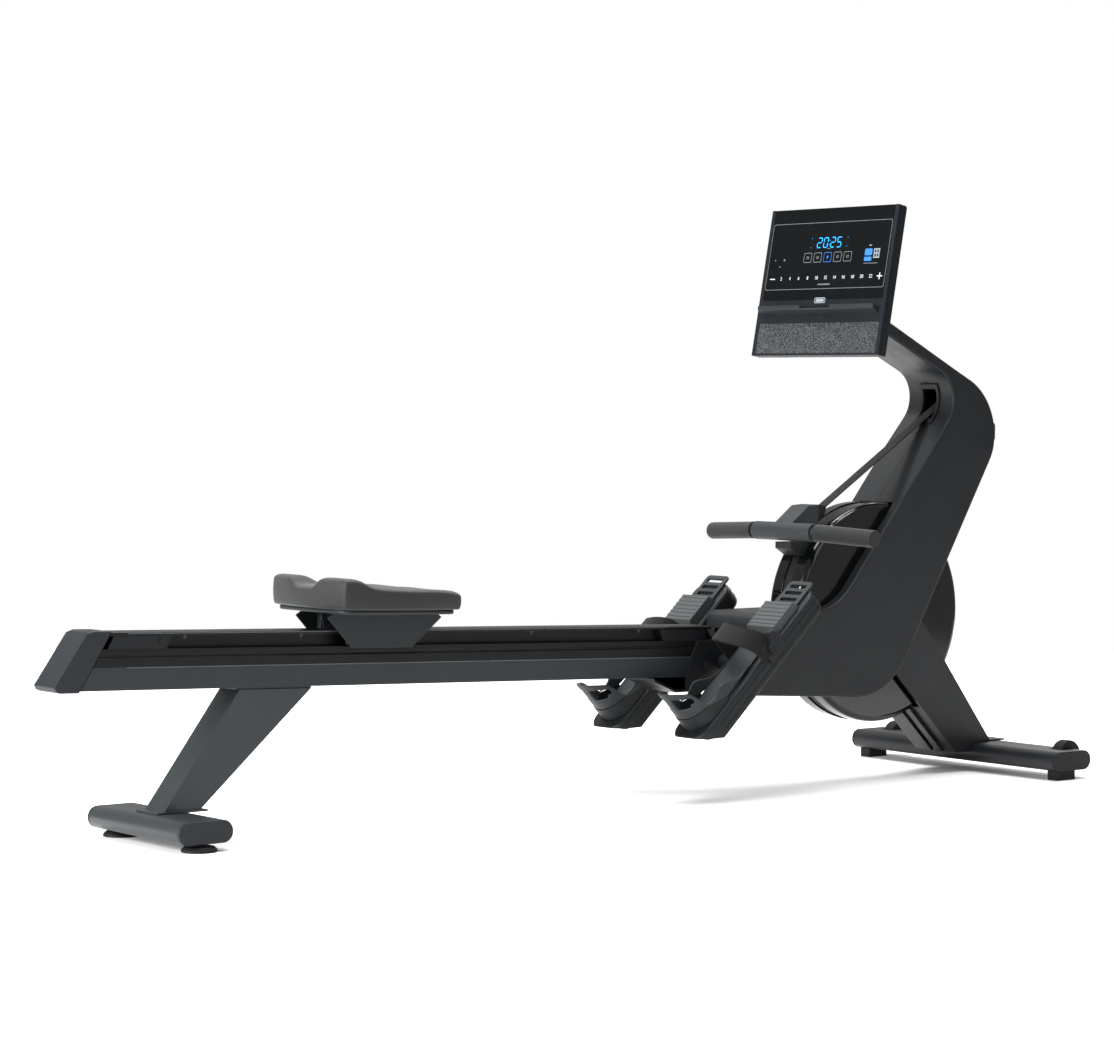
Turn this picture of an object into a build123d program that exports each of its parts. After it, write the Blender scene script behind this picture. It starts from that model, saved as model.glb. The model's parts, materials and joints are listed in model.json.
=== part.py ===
"""Folding magnetic rowing machine: an assembly of separate pieces, in millimetres.

Stations are lengths along the machine measured forward from the rear feet, and
heights are measured up from the floor. The part's own origin is on the floor
under the middle of the machine: +X points forward to the flywheel, +Y to the
left of someone facing it, and +Z up.
"""
from build123d import *
from math import atan2, cos, degrees, radians, sin
import os

# ---------------------------------------------------------------- driving dimensions
MID_STATION = 873.5          # station of the middle of the machine
GAP = 0.3                    # clearance between pieces that pass each other

BAR_DEPTH = 105.0            # flat-oval stabiliser bar, front to back
BAR_HEIGHT = 38.0
BAR_WALL = 2.5
CAP_THICKNESS = 6.0
REAR_BAR_HALF = 145.4
REAR_BAR_HEIGHT = 33.0
FRONT_BAR_STATION = 1903.0
FRONT_BAR_HALF = 284.0
FRONT_BAR_HEIGHT = 37.5

REAR_FOOT_OFFSET = 123.0
REAR_FOOT_RADIUS = 30.0
FRONT_FOOT_OFFSET = 263.0
WHEEL_RADIUS = 30.0
WHEEL_WIDTH = 26.0
WHEEL_STATION = 1935.0
WHEEL_HEIGHT = 43.0
WHEEL_OFFSET = 236.0

RAIL_HALF = 32.5
RAIL_SLOPE = 0.032           # fall per unit of length towards the front
RAIL_TOP_AT_REAR = 354.2     # height of the running surface at station 0
RAIL_LIP = 6.0               # depths below the running surface
RAIL_CHANNEL_FLOOR = 27.0
RAIL_TRACK_DEPTH = 57.0
RAIL_BEAM_DEPTH = 95.0
RAIL_WEB_HALF = 17.0
RAIL_NOSE = 1210.0
FOLD_STATION = 1175.0
FOLD_HEIGHT = 240.6
FOLD_PIN_RADIUS = 8.0

SEAT_STATION = 420.0
SEAT_LENGTH = 276.0
SEAT_HALF = 125.0
SEAT_BASE = 38.0             # underside of the pad above the running surface
SEAT_SIDE = 37.0
SEAT_HORN = 16.0
ROLLER_RADIUS = 10.0
ROLLER_DROP = 16.6           # roller axle below the running surface
ROLLER_REACH = 45.0          # roller axles either side of the seat's middle

TOWER_HALF = 70.0
ARM_HALF = 60.0
SHELL_WALL = 4.0
FLYWHEEL_STATION = 1612.0
FLYWHEEL_HEIGHT = 326.0
HOUSING_RADIUS = 214.0
HOUSING_HALF = 46.0
FLYWHEEL_RADIUS = 165.0
DRUM_STATION = 1745.0
DRUM_HEIGHT = 545.0
DRUM_RADIUS = 28.0
PULLEY_RADIUS = 66.0
SMALL_PULLEY_RADIUS = 22.0
SHAFT_RADIUS = 7.5
PLATE_INNER = 48.5
PLATE_OUTER = 51.5
GUIDE_STATION = 1822.0
GUIDE_HEIGHT = 722.0
GUIDE_RADIUS = 12.0

PEDAL_ANGLE = 43.0
PEDAL_STATION = 1118.0       # a point on the underside of the pedal, near its heel
PEDAL_HEIGHT = 130.0
PEDAL_OFFSET = 118.5
PEDAL_HALF = 46.5
PEDAL_BLOCK = 42.0
PEDAL_HEEL = -58.0
PEDAL_TOE = 332.0
SLIDER_BASE = PEDAL_BLOCK + GAP
SLIDER_THICK = 5.0
SLIDER_HALF = 30.0

SLEEVE_STATION = 1402.0
SLEEVE_HEIGHT = 487.0
SLEEVE_HALF = 84.0
SLEEVE_RADIUS = 17.5
GRIP_RADIUS = 16.5
GRIP_LENGTH = 150.0
BAR_CORE_RADIUS = 11.0
STRAP_HALF = 12.0
STRAP_THICKNESS = 2.0

CONSOLE_STATION = 1471.0     # lower front edge of the console
CONSOLE_HEIGHT = 825.0
CONSOLE_LEAN = 10.8
CONSOLE_TALL = 291.0
CONSOLE_HALF = 178.0
CONSOLE_THICK = 22.0
TILT_STATION = 1545.0
TILT_HEIGHT = 905.0
TILT_PIN_RADIUS = 5.0

# ---------------------------------------------------------------- planes and helpers
RAIL_ANGLE = degrees(atan2(RAIL_SLOPE, 1))
SIDE = Plane(origin=(-MID_STATION, 0, 0), x_dir=(1, 0, 0), z_dir=(0, -1, 0))
RAIL = Plane(
    origin=(-MID_STATION, 0, RAIL_TOP_AT_REAR),
    x_dir=(cos(radians(RAIL_ANGLE)), 0, -sin(radians(RAIL_ANGLE))),
    z_dir=(0, -1, 0),
)
CONSOLE = Plane(
    origin=(CONSOLE_STATION - MID_STATION, 0, CONSOLE_HEIGHT),
    x_dir=(cos(radians(CONSOLE_LEAN)), 0, -sin(radians(CONSOLE_LEAN))),
    z_dir=(0, -1, 0),
)
PEDAL = Plane(
    origin=(PEDAL_STATION - MID_STATION, 0, PEDAL_HEIGHT),
    x_dir=(cos(radians(PEDAL_ANGLE)), 0, sin(radians(PEDAL_ANGLE))),
    z_dir=(0, -1, 0),
)
PIECES = []


def save(builder, name):
    """Label a finished piece and keep it to be written at the end."""
    builder.part.label = name
    PIECES.append((name, builder.part))


def slab(base, points, low, high, mode=Mode.ADD):
    """Inside a part: a closed outline on a side plane, filled from Y = low to Y = high."""
    with BuildSketch(base.offset(-low)) as outline:
        with BuildLine():
            Polyline(*points, close=True)
        make_face()
    extrude(outline.sketch, amount=low - high, mode=mode)


def block(base, x_low, x_high, y_low, y_high, low, high, mode=Mode.ADD):
    """Inside a part: a box lined up with a side plane."""
    corners = [(x_low, low), (x_high, low), (x_high, high), (x_low, high)]
    slab(base, corners, y_low, y_high, mode)


def disc(base, x, height, radius, low, high, mode=Mode.ADD):
    """Inside a part: a cylinder along Y whose centre is given on a side plane."""
    with BuildSketch(base.offset(-low)) as outline:
        with Locations((x, height)):
            Circle(radius)
    extrude(outline.sketch, amount=low - high, mode=mode)


def ring(base, x, height, outer, inner, low, high):
    """Inside a part: a tube along Y whose centre is given on a side plane."""
    with BuildSketch(base.offset(-low)) as outline:
        with Locations((x, height)):
            Circle(outer)
            Circle(inner, mode=Mode.SUBTRACT)
    extrude(outline.sketch, amount=low - high)


def on_side(hand, limits):
    """Y limits, low then high, of a piece on the left (hand 1) or the right (hand -1)."""
    return sorted((hand * limits[0], hand * limits[1]))

# ---------------------------------------------------------------- stabiliser bars and feet
def bar_tube(station, height, half_length):
    """Inside a part: the hollow tube of a stabiliser bar."""
    with BuildSketch(SIDE) as section:
        with Locations((station, height)):
            SlotOverall(BAR_DEPTH, BAR_HEIGHT)
            SlotOverall(BAR_DEPTH - 2 * BAR_WALL, BAR_HEIGHT - 2 * BAR_WALL, mode=Mode.SUBTRACT)
    extrude(section.sketch, amount=half_length - CAP_THICKNESS, both=True)


def bar_caps(station, height, half_length):
    """A part with the moulded caps that close both ends of a stabiliser bar."""
    with BuildPart() as caps:
        for hand in (-1, 1):
            low, high = sorted((hand * (half_length - CAP_THICKNESS), hand * half_length))
            with BuildSketch(SIDE.offset(-low)):
                with Locations((station, height)):
                    SlotOverall(BAR_DEPTH, BAR_HEIGHT)
            extrude(amount=low - high)
        fillet(caps.edges().group_by(Axis.Y)[0], 2.0)
        fillet(caps.edges().group_by(Axis.Y)[-1], 2.0)
    return caps


with BuildPart() as rear_bar:
    bar_tube(0, REAR_BAR_HEIGHT, REAR_BAR_HALF)
    with Locations(*[(-MID_STATION, hand * REAR_FOOT_OFFSET, 15) for hand in (-1, 1)]):
        Cylinder(5.2, 4 * BAR_WALL, mode=Mode.SUBTRACT)
save(rear_bar, "rear_bar")
save(bar_caps(0, REAR_BAR_HEIGHT, REAR_BAR_HALF), "rear_bar_caps")

LEG_HALF = 30.0
LEG_WALL = 3.0
PLATE = 3.5
LEG_FOOT = REAR_BAR_HEIGHT + BAR_HEIGHT / 2 + PLATE


def beam_underside(station, drop):
    """Height of a point a given depth under the rail's running surface."""
    return RAIL_TOP_AT_REAR - RAIL_SLOPE * station - drop


LEG_TOP_DROP = RAIL_BEAM_DEPTH + PLATE
REAR_LEG_OUTLINE = [
    (-9, LEG_FOOT),
    (62, LEG_FOOT),
    (284, beam_underside(284, LEG_TOP_DROP)),
    (139, beam_underside(139, LEG_TOP_DROP)),
]
with BuildPart() as rear_leg:
    slab(SIDE, REAR_LEG_OUTLINE, -LEG_HALF, LEG_HALF)
    with BuildSketch(SIDE):
        with BuildLine():
            Polyline(*REAR_LEG_OUTLINE, close=True)
        make_face()
        offset(amount=-LEG_WALL)
    extrude(amount=LEG_HALF - LEG_WALL, both=True, mode=Mode.SUBTRACT)
    block(SIDE, -24, 74, -34, 34, LEG_FOOT - PLATE + 0.1, LEG_FOOT)
    block(RAIL, 138, 290, -26, 26, -LEG_TOP_DROP - 0.3, -RAIL_BEAM_DEPTH - 0.1)
save(rear_leg, "rear_leg")

for hand, name in ((-1, "levelling_foot_right"), (1, "levelling_foot_left")):
    with BuildPart() as levelling_foot:
        with BuildSketch(Plane.XZ.offset(-hand * REAR_FOOT_OFFSET)):
            with BuildLine():
                Polyline(
                    (-MID_STATION, 0),
                    (-MID_STATION + REAR_FOOT_RADIUS, 0),
                    (-MID_STATION + REAR_FOOT_RADIUS, 4),
                    (-MID_STATION + REAR_FOOT_RADIUS - 5, 9),
                    (-MID_STATION + 14, 9),
                    (-MID_STATION + 14, 12),
                    (-MID_STATION + 5, 12),
                    (-MID_STATION + 5, 36),
                    (-MID_STATION, 36),
                    close=True,
                )
            make_face()
        revolve(axis=Axis((-MID_STATION, hand * REAR_FOOT_OFFSET, 0), (0, 0, 1)))
    save(levelling_foot, name)

WHEEL_SLOT_HALF = WHEEL_WIDTH / 2 + 2.5
WHEEL_AXLE_RADIUS = 4.0
with BuildPart() as front_bar:
    bar_tube(FRONT_BAR_STATION, FRONT_BAR_HEIGHT, FRONT_BAR_HALF)
    for hand in (-1, 1):
        middle = hand * WHEEL_OFFSET
        slot = (middle - WHEEL_SLOT_HALF, middle + WHEEL_SLOT_HALF)
        block(SIDE, WHEEL_STATION - 35, 1990, *slot, 0, 80, mode=Mode.SUBTRACT)
        for cheek in (slot[0] - 1.8, slot[1]):
            block(SIDE, WHEEL_STATION - 36, WHEEL_STATION + 8, cheek, cheek + 1.8, 34, 52)
        disc(SIDE, WHEEL_STATION, WHEEL_HEIGHT, WHEEL_AXLE_RADIUS, slot[0] - 1, slot[1] + 1)
save(front_bar, "front_bar")
save(bar_caps(FRONT_BAR_STATION, FRONT_BAR_HEIGHT, FRONT_BAR_HALF), "front_bar_caps")

for hand, name in ((-1, "transport_wheel_right"), (1, "transport_wheel_left")):
    with BuildPart() as wheel:
        middle = hand * WHEEL_OFFSET
        width = (middle - WHEEL_WIDTH / 2, middle + WHEEL_WIDTH / 2)
        ring(SIDE, WHEEL_STATION, WHEEL_HEIGHT, WHEEL_RADIUS, WHEEL_AXLE_RADIUS + 0.06, *width)
        fillet(wheel.edges().filter_by(GeomType.CIRCLE).group_by(SortBy.RADIUS)[-1], 4.0)
    save(wheel, name)

FRONT_FOOT_TOP = FRONT_BAR_HEIGHT - BAR_HEIGHT / 2
with BuildPart() as front_feet:
    for hand in (-1, 1):
        low, high = hand * FRONT_FOOT_OFFSET - 14, hand * FRONT_FOOT_OFFSET + 14
        block(SIDE, 1868, 1920, low, high, 0, FRONT_FOOT_TOP)
    fillet(front_feet.edges().filter_by(Axis.Z), 4.0)
save(front_feet, "front_feet")

# ---------------------------------------------------------------- front leg
FORK_INNER = 52.0
FORK_HALF = 57.0
FRONT_LEG_OUTLINE = [(1655, 194), (1812, 40), (1905, 40), (1905, 62), (1700, 325), (1650, 330), (1590, 262)]
with BuildPart() as front_leg:
    slab(SIDE, FRONT_LEG_OUTLINE, -FORK_HALF, FORK_HALF)
    with BuildSketch(SIDE):
        with BuildLine():
            Polyline(*FRONT_LEG_OUTLINE, close=True)
        make_face()
        offset(amount=-4.0)
    extrude(amount=FORK_INNER, both=True, mode=Mode.SUBTRACT)
    disc(SIDE, FLYWHEEL_STATION, FLYWHEEL_HEIGHT, HOUSING_RADIUS + 3, -FORK_INNER, FORK_INNER,
         mode=Mode.SUBTRACT)
    with BuildSketch(SIDE):
        with Locations((FRONT_BAR_STATION, FRONT_BAR_HEIGHT)):
            SlotOverall(BAR_DEPTH + 0.1, BAR_HEIGHT + 0.1)
    extrude(amount=FORK_HALF + 1, both=True, mode=Mode.SUBTRACT)
    disc(SIDE, FLYWHEEL_STATION, FLYWHEEL_HEIGHT, 12, -FORK_HALF, FORK_HALF, mode=Mode.SUBTRACT)
    for start_y in (-26, 4):
        slab(SIDE, [(1809, 42.8), (1717, 133), (1713, 129), (1805, 38.8)], start_y, start_y + 16)
    saddle_base = FRONT_BAR_HEIGHT + BAR_HEIGHT / 2
    block(SIDE, 1900, 1950, -55, 55, saddle_base + 0.1, saddle_base + PLATE)
save(front_leg, "front_leg")

# ---------------------------------------------------------------- tower shells
TOWER_POINTS = [
    (1560, 920), (1951, 724.5), (1614.5, 161.5), (1256, 183.4), (1262, 338), (1475, 338), (1826, 763),
    (1560, 890),
]
TOWER_ROUNDS = [(1951, 115), (1614.5, 147), (1256, 14), (1262, 22), (1475, 120), (1826, 60)]

with BuildSketch() as tower_side:
    with BuildLine():
        Polyline(*TOWER_POINTS, close=True)
    make_face()
    for station, radius in TOWER_ROUNDS:
        fillet(tower_side.vertices().filter_by_position(Axis.X, station - 0.1, station + 0.1), radius)


def tower_solid(shrink):
    """A part with the tower's outer solid, drawn in by the given wall, tapering to the arm."""
    with BuildPart() as solid:
        with BuildSketch(SIDE):
            add(tower_side.sketch)
            if shrink:
                offset(amount=-shrink)
        extrude(amount=TOWER_HALF - shrink, both=True)
        with BuildSketch(Plane.YZ.offset(-MID_STATION + 1200)):
            with BuildLine():
                Polyline(
                    (-TOWER_HALF + shrink, 0),
                    (TOWER_HALF - shrink, 0),
                    (TOWER_HALF - shrink, 640),
                    (ARM_HALF - shrink, 800),
                    (ARM_HALF - shrink, 1000),
                    (-ARM_HALF + shrink, 1000),
                    (-ARM_HALF + shrink, 800),
                    (-TOWER_HALF + shrink, 640),
                    close=True,
                )
            make_face()
        extrude(amount=900, mode=Mode.INTERSECT)
    return solid


NECK_OPENING = (194.0, 306.0)
with BuildPart() as tower_shell:
    add(tower_solid(0.0).part)
    add(tower_solid(SHELL_WALL).part, mode=Mode.SUBTRACT)
    disc(SIDE, FLYWHEEL_STATION, FLYWHEEL_HEIGHT, HOUSING_RADIUS + 2.0, -HOUSING_HALF - 1.5,
         HOUSING_HALF + 1.5, mode=Mode.SUBTRACT)
    with BuildSketch(SIDE):
        with BuildLine():
            Polyline(*FRONT_LEG_OUTLINE, close=True)
        make_face()
        offset(amount=1.0)
    extrude(amount=FORK_HALF + 1.0, both=True, mode=Mode.SUBTRACT)
    block(SIDE, 1240, 1300, -42, 42, *NECK_OPENING, mode=Mode.SUBTRACT)
    block(SIDE, 1770, 1812, -19, 19, 702, 762, mode=Mode.SUBTRACT)
    block(SIDE, 1550, 1575, -50, 50, 880, 930, mode=Mode.SUBTRACT)

for hand, name in ((-1, "tower_shell_right"), (1, "tower_shell_left")):
    with BuildPart() as half_shell:
        add(tower_shell.part)
        keep = (GAP / 2, TOWER_HALF + 1) if hand > 0 else (-TOWER_HALF - 1, -GAP / 2)
        block(SIDE, 1200, 2000, *keep, 100, 1000, mode=Mode.INTERSECT)
    save(half_shell, name)

with BuildPart() as port_bezel:
    with BuildSketch(SIDE):
        add(tower_side.sketch)
        offset(amount=3.5)
    extrude(amount=25, both=True)
    with BuildSketch(SIDE):
        add(tower_side.sketch)
        offset(amount=0.15)
    extrude(amount=30, both=True, mode=Mode.SUBTRACT)
    block(SIDE, 1740, 1815, -25, 25, 694, 770, mode=Mode.INTERSECT)
    block(SIDE, 1740, 1830, -18.5, 18.5, 703, 761, mode=Mode.SUBTRACT)
save(port_bezel, "strap_port_bezel")

with BuildPart() as knee_bumper:
    slab(SIDE, [(1900, 650), (1920, 650), (1933, 662), (1933, 690), (1922, 702), (1900, 702)], -40, 40)
    with BuildSketch(SIDE):
        add(tower_side.sketch)
        offset(amount=0.2)
    extrude(amount=TOWER_HALF, both=True, mode=Mode.SUBTRACT)
    fillet(knee_bumper.edges().filter_by(Axis.Y).group_by(Axis.X)[-1], 4.0)
save(knee_bumper, "knee_bumper")

# ---------------------------------------------------------------- main frame inside the tower
LOCK_STATION = 1068.0
LOCK_HEIGHT = 262.0
LOCK_PIN_RADIUS = 4.0
LEFT_EAR_NOSE = [(1096, 200), (1043, 228), (1050, 252), (1092, 290)]   # reaches back to the lock
RIGHT_EAR_NOSE = [(1122, 200), (1122, 214), (1130, 252), (1150, 290)]
GUIDE_AXLE_RADIUS = 4.0
with BuildPart() as main_frame:
    for hand in (-1, 1):
        plate = on_side(hand, (PLATE_INNER, PLATE_OUTER))
        with BuildSketch(SIDE.offset(-plate[0])):
            add(tower_side.sketch)
            offset(amount=-9.0)
        extrude(amount=plate[0] - plate[1])
        ear = on_side(hand, (RAIL_HALF + 0.6, 38.5))
        nose = LEFT_EAR_NOSE if hand > 0 else RIGHT_EAR_NOSE
        slab(SIDE, nose + [(1380, 290), (1380, 200)], *ear)
        joiner = on_side(hand, (38.5, PLATE_INNER))
        block(SIDE, 1276, 1376, *joiner, 204, 286)
        stub = on_side(hand, (38.5, PEDAL_OFFSET - PEDAL_HALF))
        disc(SIDE, 1212, 248, 15, *stub)
    block(SIDE, 1268, 1272, -33.1, 33.1, 200, 290)
    slab(SIDE, [(1043, 224), (1043, 219), (1096, 196), (1272, 196), (1272, 200), (1098, 200)], -38.5, 38.5)
    block(SIDE, 1690, 1696, -PLATE_INNER, PLATE_INNER, 548, 572)
    block(SIDE, 1835, 1841, -PLATE_INNER, PLATE_INNER, 590, 660)
    slab(SIDE, [(1575, 893), (1575, 906), (1770, 806), (1770, 797)], -PLATE_INNER, PLATE_INNER)
    for station, height, bore in (
        (FLYWHEEL_STATION, FLYWHEEL_HEIGHT, 13.0),
        (DRUM_STATION, DRUM_HEIGHT, 13.0),
    ):
        disc(SIDE, station, height, bore, -60, 60, mode=Mode.SUBTRACT)
    disc(SIDE, LOCK_STATION, LOCK_HEIGHT, 8.0, 38.5, 50)
    disc(SIDE, LOCK_STATION, LOCK_HEIGHT, LOCK_PIN_RADIUS + 0.1, 30, 52, mode=Mode.SUBTRACT)
    disc(SIDE, FOLD_STATION, FOLD_HEIGHT, FOLD_PIN_RADIUS, -38.5, 38.5)
    for hand in (-1, 1):
        disc(SIDE, FOLD_STATION, FOLD_HEIGHT, 12, *on_side(hand, (38.5, 42.5)))
    disc(SIDE, GUIDE_STATION, GUIDE_HEIGHT, GUIDE_AXLE_RADIUS, -PLATE_OUTER, PLATE_OUTER)
    disc(SIDE, TILT_STATION, TILT_HEIGHT, 11, -21.5, 21.5)
    slab(SIDE, [(1545, 894), (1545, 916), (1590, 897), (1590, 888)], -21.5, 21.5)
    disc(SIDE, TILT_STATION, TILT_HEIGHT, TILT_PIN_RADIUS + 0.05, -40, 40, mode=Mode.SUBTRACT)
save(main_frame, "main_frame")

with BuildPart() as lock_knob:
    disc(SIDE, LOCK_STATION, LOCK_HEIGHT, LOCK_PIN_RADIUS, RAIL_HALF + 0.8, 62)
    disc(SIDE, LOCK_STATION, LOCK_HEIGHT, 13.0, 62, 80)
    rim = lock_knob.edges().filter_by(GeomType.CIRCLE).sort_by(Axis.Y)
    fillet(rim[-1], 4.0)
save(lock_knob, "fold_lock_knob")

# ---------------------------------------------------------------- flywheel housing
with BuildPart() as housing:
    disc(SIDE, FLYWHEEL_STATION, FLYWHEEL_HEIGHT, HOUSING_RADIUS, -HOUSING_HALF, HOUSING_HALF)
    fillet(housing.edges().filter_by(GeomType.CIRCLE), 14.0)
    disc(SIDE, FLYWHEEL_STATION, FLYWHEEL_HEIGHT, HOUSING_RADIUS - 8, -HOUSING_HALF + 3,
         HOUSING_HALF - 3, mode=Mode.SUBTRACT)
    disc(SIDE, FLYWHEEL_STATION, FLYWHEEL_HEIGHT, 16, -60, 60, mode=Mode.SUBTRACT)

BAND_HALF = 11.0
BRAKE_REACH = 185.0
BRAKE_START = -30.0
BRAKE_SWEEP = 50.0
BRAKE_PIN_RADIUS = 5.0
BRAKE_STATION = FLYWHEEL_STATION + BRAKE_REACH * cos(radians(BRAKE_START))
BRAKE_HEIGHT = FLYWHEEL_HEIGHT + BRAKE_REACH * sin(radians(BRAKE_START))
for hand, name in ((-1, "flywheel_housing_right"), (1, "flywheel_housing_left")):
    with BuildPart() as half_housing:
        add(housing.part)
        keep = on_side(hand, (BAND_HALF, HOUSING_HALF + 1))
        block(SIDE, 1380, 1840, *keep, 100, 560, mode=Mode.INTERSECT)
        pin = on_side(hand, (0.1, HOUSING_HALF - 3))
        disc(SIDE, BRAKE_STATION, BRAKE_HEIGHT, BRAKE_PIN_RADIUS, *pin)
    save(half_housing, name)

with BuildPart() as housing_band:
    ring(SIDE, FLYWHEEL_STATION, FLYWHEEL_HEIGHT, HOUSING_RADIUS - 3, HOUSING_RADIUS - 8, -BAND_HALF,
         BAND_HALF)
save(housing_band, "flywheel_housing_band")

# ---------------------------------------------------------------- flywheel and drive
BELT_TRACK = (-64.5, -58.5)
with BuildPart() as flywheel:
    ring(SIDE, FLYWHEEL_STATION, FLYWHEEL_HEIGHT, FLYWHEEL_RADIUS, SHAFT_RADIUS, -12, 12)
    for low, high in ((-13, -5), (5, 13)):
        with BuildSketch(SIDE.offset(-low)):
            with Locations((FLYWHEEL_STATION, FLYWHEEL_HEIGHT)):
                Circle(FLYWHEEL_RADIUS - 26)
                Circle(32, mode=Mode.SUBTRACT)
        extrude(amount=low - high, mode=Mode.SUBTRACT)
save(flywheel, "flywheel")

with BuildPart() as flywheel_shaft:
    disc(SIDE, FLYWHEEL_STATION, FLYWHEEL_HEIGHT, SHAFT_RADIUS, -65, 56)
    disc(SIDE, FLYWHEEL_STATION, FLYWHEEL_HEIGHT, SMALL_PULLEY_RADIUS, *BELT_TRACK)
save(flywheel_shaft, "flywheel_shaft")

with BuildPart() as bearings:
    for station, height in ((FLYWHEEL_STATION, FLYWHEEL_HEIGHT), (DRUM_STATION, DRUM_HEIGHT)):
        for hand in (-1, 1):
            ring(SIDE, station, height, 13.0, SHAFT_RADIUS + 0.05, *on_side(hand, (47.5, 51.5)))
save(bearings, "shaft_bearings")

with BuildPart() as drum:
    disc(SIDE, DRUM_STATION, DRUM_HEIGHT, DRUM_RADIUS, -14, 14)
    for hand in (-1, 1):
        disc(SIDE, DRUM_STATION, DRUM_HEIGHT, DRUM_RADIUS + 6, *on_side(hand, (14, 16)))
    disc(SIDE, DRUM_STATION, DRUM_HEIGHT, SHAFT_RADIUS, -65.4, 55)
save(drum, "strap_drum")

with BuildPart() as drive_pulley:
    ring(SIDE, DRUM_STATION, DRUM_HEIGHT, PULLEY_RADIUS, SHAFT_RADIUS + 0.05, *BELT_TRACK)
    ring(SIDE, DRUM_STATION, DRUM_HEIGHT, 14.0, SHAFT_RADIUS + 0.05, -65.0, -57.5)
save(drive_pulley, "drive_pulley")

BELT = 1.6


def belt_loop(margin):
    """Outline of the loop round both pulleys at the given distance off their rims."""
    small = SMALL_PULLEY_RADIUS + margin
    large = PULLEY_RADIUS + margin
    with Locations((FLYWHEEL_STATION, FLYWHEEL_HEIGHT)):
        Circle(small)
    with Locations((DRUM_STATION, DRUM_HEIGHT)):
        Circle(large)
    make_hull()


with BuildSketch() as belt_outer:
    belt_loop(BELT + 0.1)
with BuildSketch() as belt_inner:
    belt_loop(0.1)
with BuildPart() as drive_belt:
    with BuildSketch(SIDE.offset(58.8)):
        add(belt_outer.sketch)
        add(belt_inner.sketch, mode=Mode.SUBTRACT)
    extrude(amount=5.4)
save(drive_belt, "drive_belt")

with BuildPart() as guide_roller:
    ring(SIDE, GUIDE_STATION, GUIDE_HEIGHT, GUIDE_RADIUS, GUIDE_AXLE_RADIUS + 0.05, -16, 16)
save(guide_roller, "strap_guide_roller")


def rim_sector(outer, inner, start, sweep, low, high):
    """Inside a part: a sector of a ring round the flywheel's axis, from Y = low to high."""
    centre = Vector(FLYWHEEL_STATION, FLYWHEEL_HEIGHT)
    with BuildSketch(SIDE.offset(-low)) as sector:
        with BuildLine():
            rim = CenterArc(centre, outer, start, sweep)
            bore = CenterArc(centre, inner, start, sweep)
            Line(rim @ 0, bore @ 0)
            Line(rim @ 1, bore @ 1)
        make_face()
    extrude(sector.sketch, amount=low - high)


with BuildPart() as brake_arm:
    for hand in (-1, 1):
        rim_sector(188, 158, BRAKE_START, BRAKE_SWEEP, *on_side(hand, (17, 20)))
        disc(SIDE, BRAKE_STATION, BRAKE_HEIGHT, 11, *on_side(hand, (17, 20)))
    rim_sector(188, 180, BRAKE_START, BRAKE_SWEEP, -20, 20)
    disc(SIDE, BRAKE_STATION, BRAKE_HEIGHT, 11, -20, 20)
    disc(SIDE, FLYWHEEL_STATION, FLYWHEEL_HEIGHT, 170, -16, 16, mode=Mode.SUBTRACT)
    disc(SIDE, BRAKE_STATION, BRAKE_HEIGHT, BRAKE_PIN_RADIUS + 0.05, -30, 30, mode=Mode.SUBTRACT)
    for hand in (-1, 1):
        for step in range(4):
            rim_sector(176, 160, BRAKE_START + 9 + step * 10.5, 7, *on_side(hand, (13.2, 17)))
save(brake_arm, "brake_arm")

with BuildPart() as brake_motor:
    block(SIDE, 1766, 1806, 22, PLATE_INNER, 612, 648)
    disc(SIDE, 1778, 630, 9, 17, 22)
save(brake_motor, "resistance_motor")

# ---------------------------------------------------------------- pedals
CUP_RADIUS = 39.0
CUP_WALL = 4.0


def sole_plane(y, height):
    """Plane parallel to a pedal's sole, whose local x runs up it and local y is +Y."""
    origin = PEDAL.from_local_coords((0, height, -y))
    slope = radians(PEDAL_ANGLE)
    return Plane(origin=origin, x_dir=(cos(slope), 0, sin(slope)), z_dir=(-sin(slope), 0, cos(slope)))


def pedal_block(y):
    """A part with the base block of one pedal, rounded at both ends."""
    with BuildPart() as part:
        with BuildSketch(sole_plane(y, 0)):
            with Locations(((PEDAL_HEEL + PEDAL_TOE) / 2, 0)):
                RectangleRounded(PEDAL_TOE - PEDAL_HEEL, 2 * PEDAL_HALF, 30)
        extrude(amount=PEDAL_BLOCK)
        fillet(part.faces().sort_by(SortBy.AREA)[-2:].edges(), 7.0)
        slab(PEDAL, [(-80, -1), (-10, -1), (-57, 41), (-80, 41)], y - 60, y + 60, mode=Mode.SUBTRACT)
    return part


def pedal_cover(y):
    """A part with the ribbed bridge that the sliding heel plate runs under."""
    with BuildPart() as part:
        slab(PEDAL, [(200, PEDAL_BLOCK), (284, PEDAL_BLOCK), (276, 61), (212, 61)], y - 37, y + 37)
        block(PEDAL, 190, 300, y - SLIDER_HALF - 1, y + SLIDER_HALF + 1, PEDAL_BLOCK - 1,
              SLIDER_BASE + SLIDER_THICK + 1, mode=Mode.SUBTRACT)
        for rib in range(6):
            start = 216 + rib * 10
            block(PEDAL, start, start + 4, y - 38, y + 38, 59.8, 62, mode=Mode.SUBTRACT)
    return part


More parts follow.
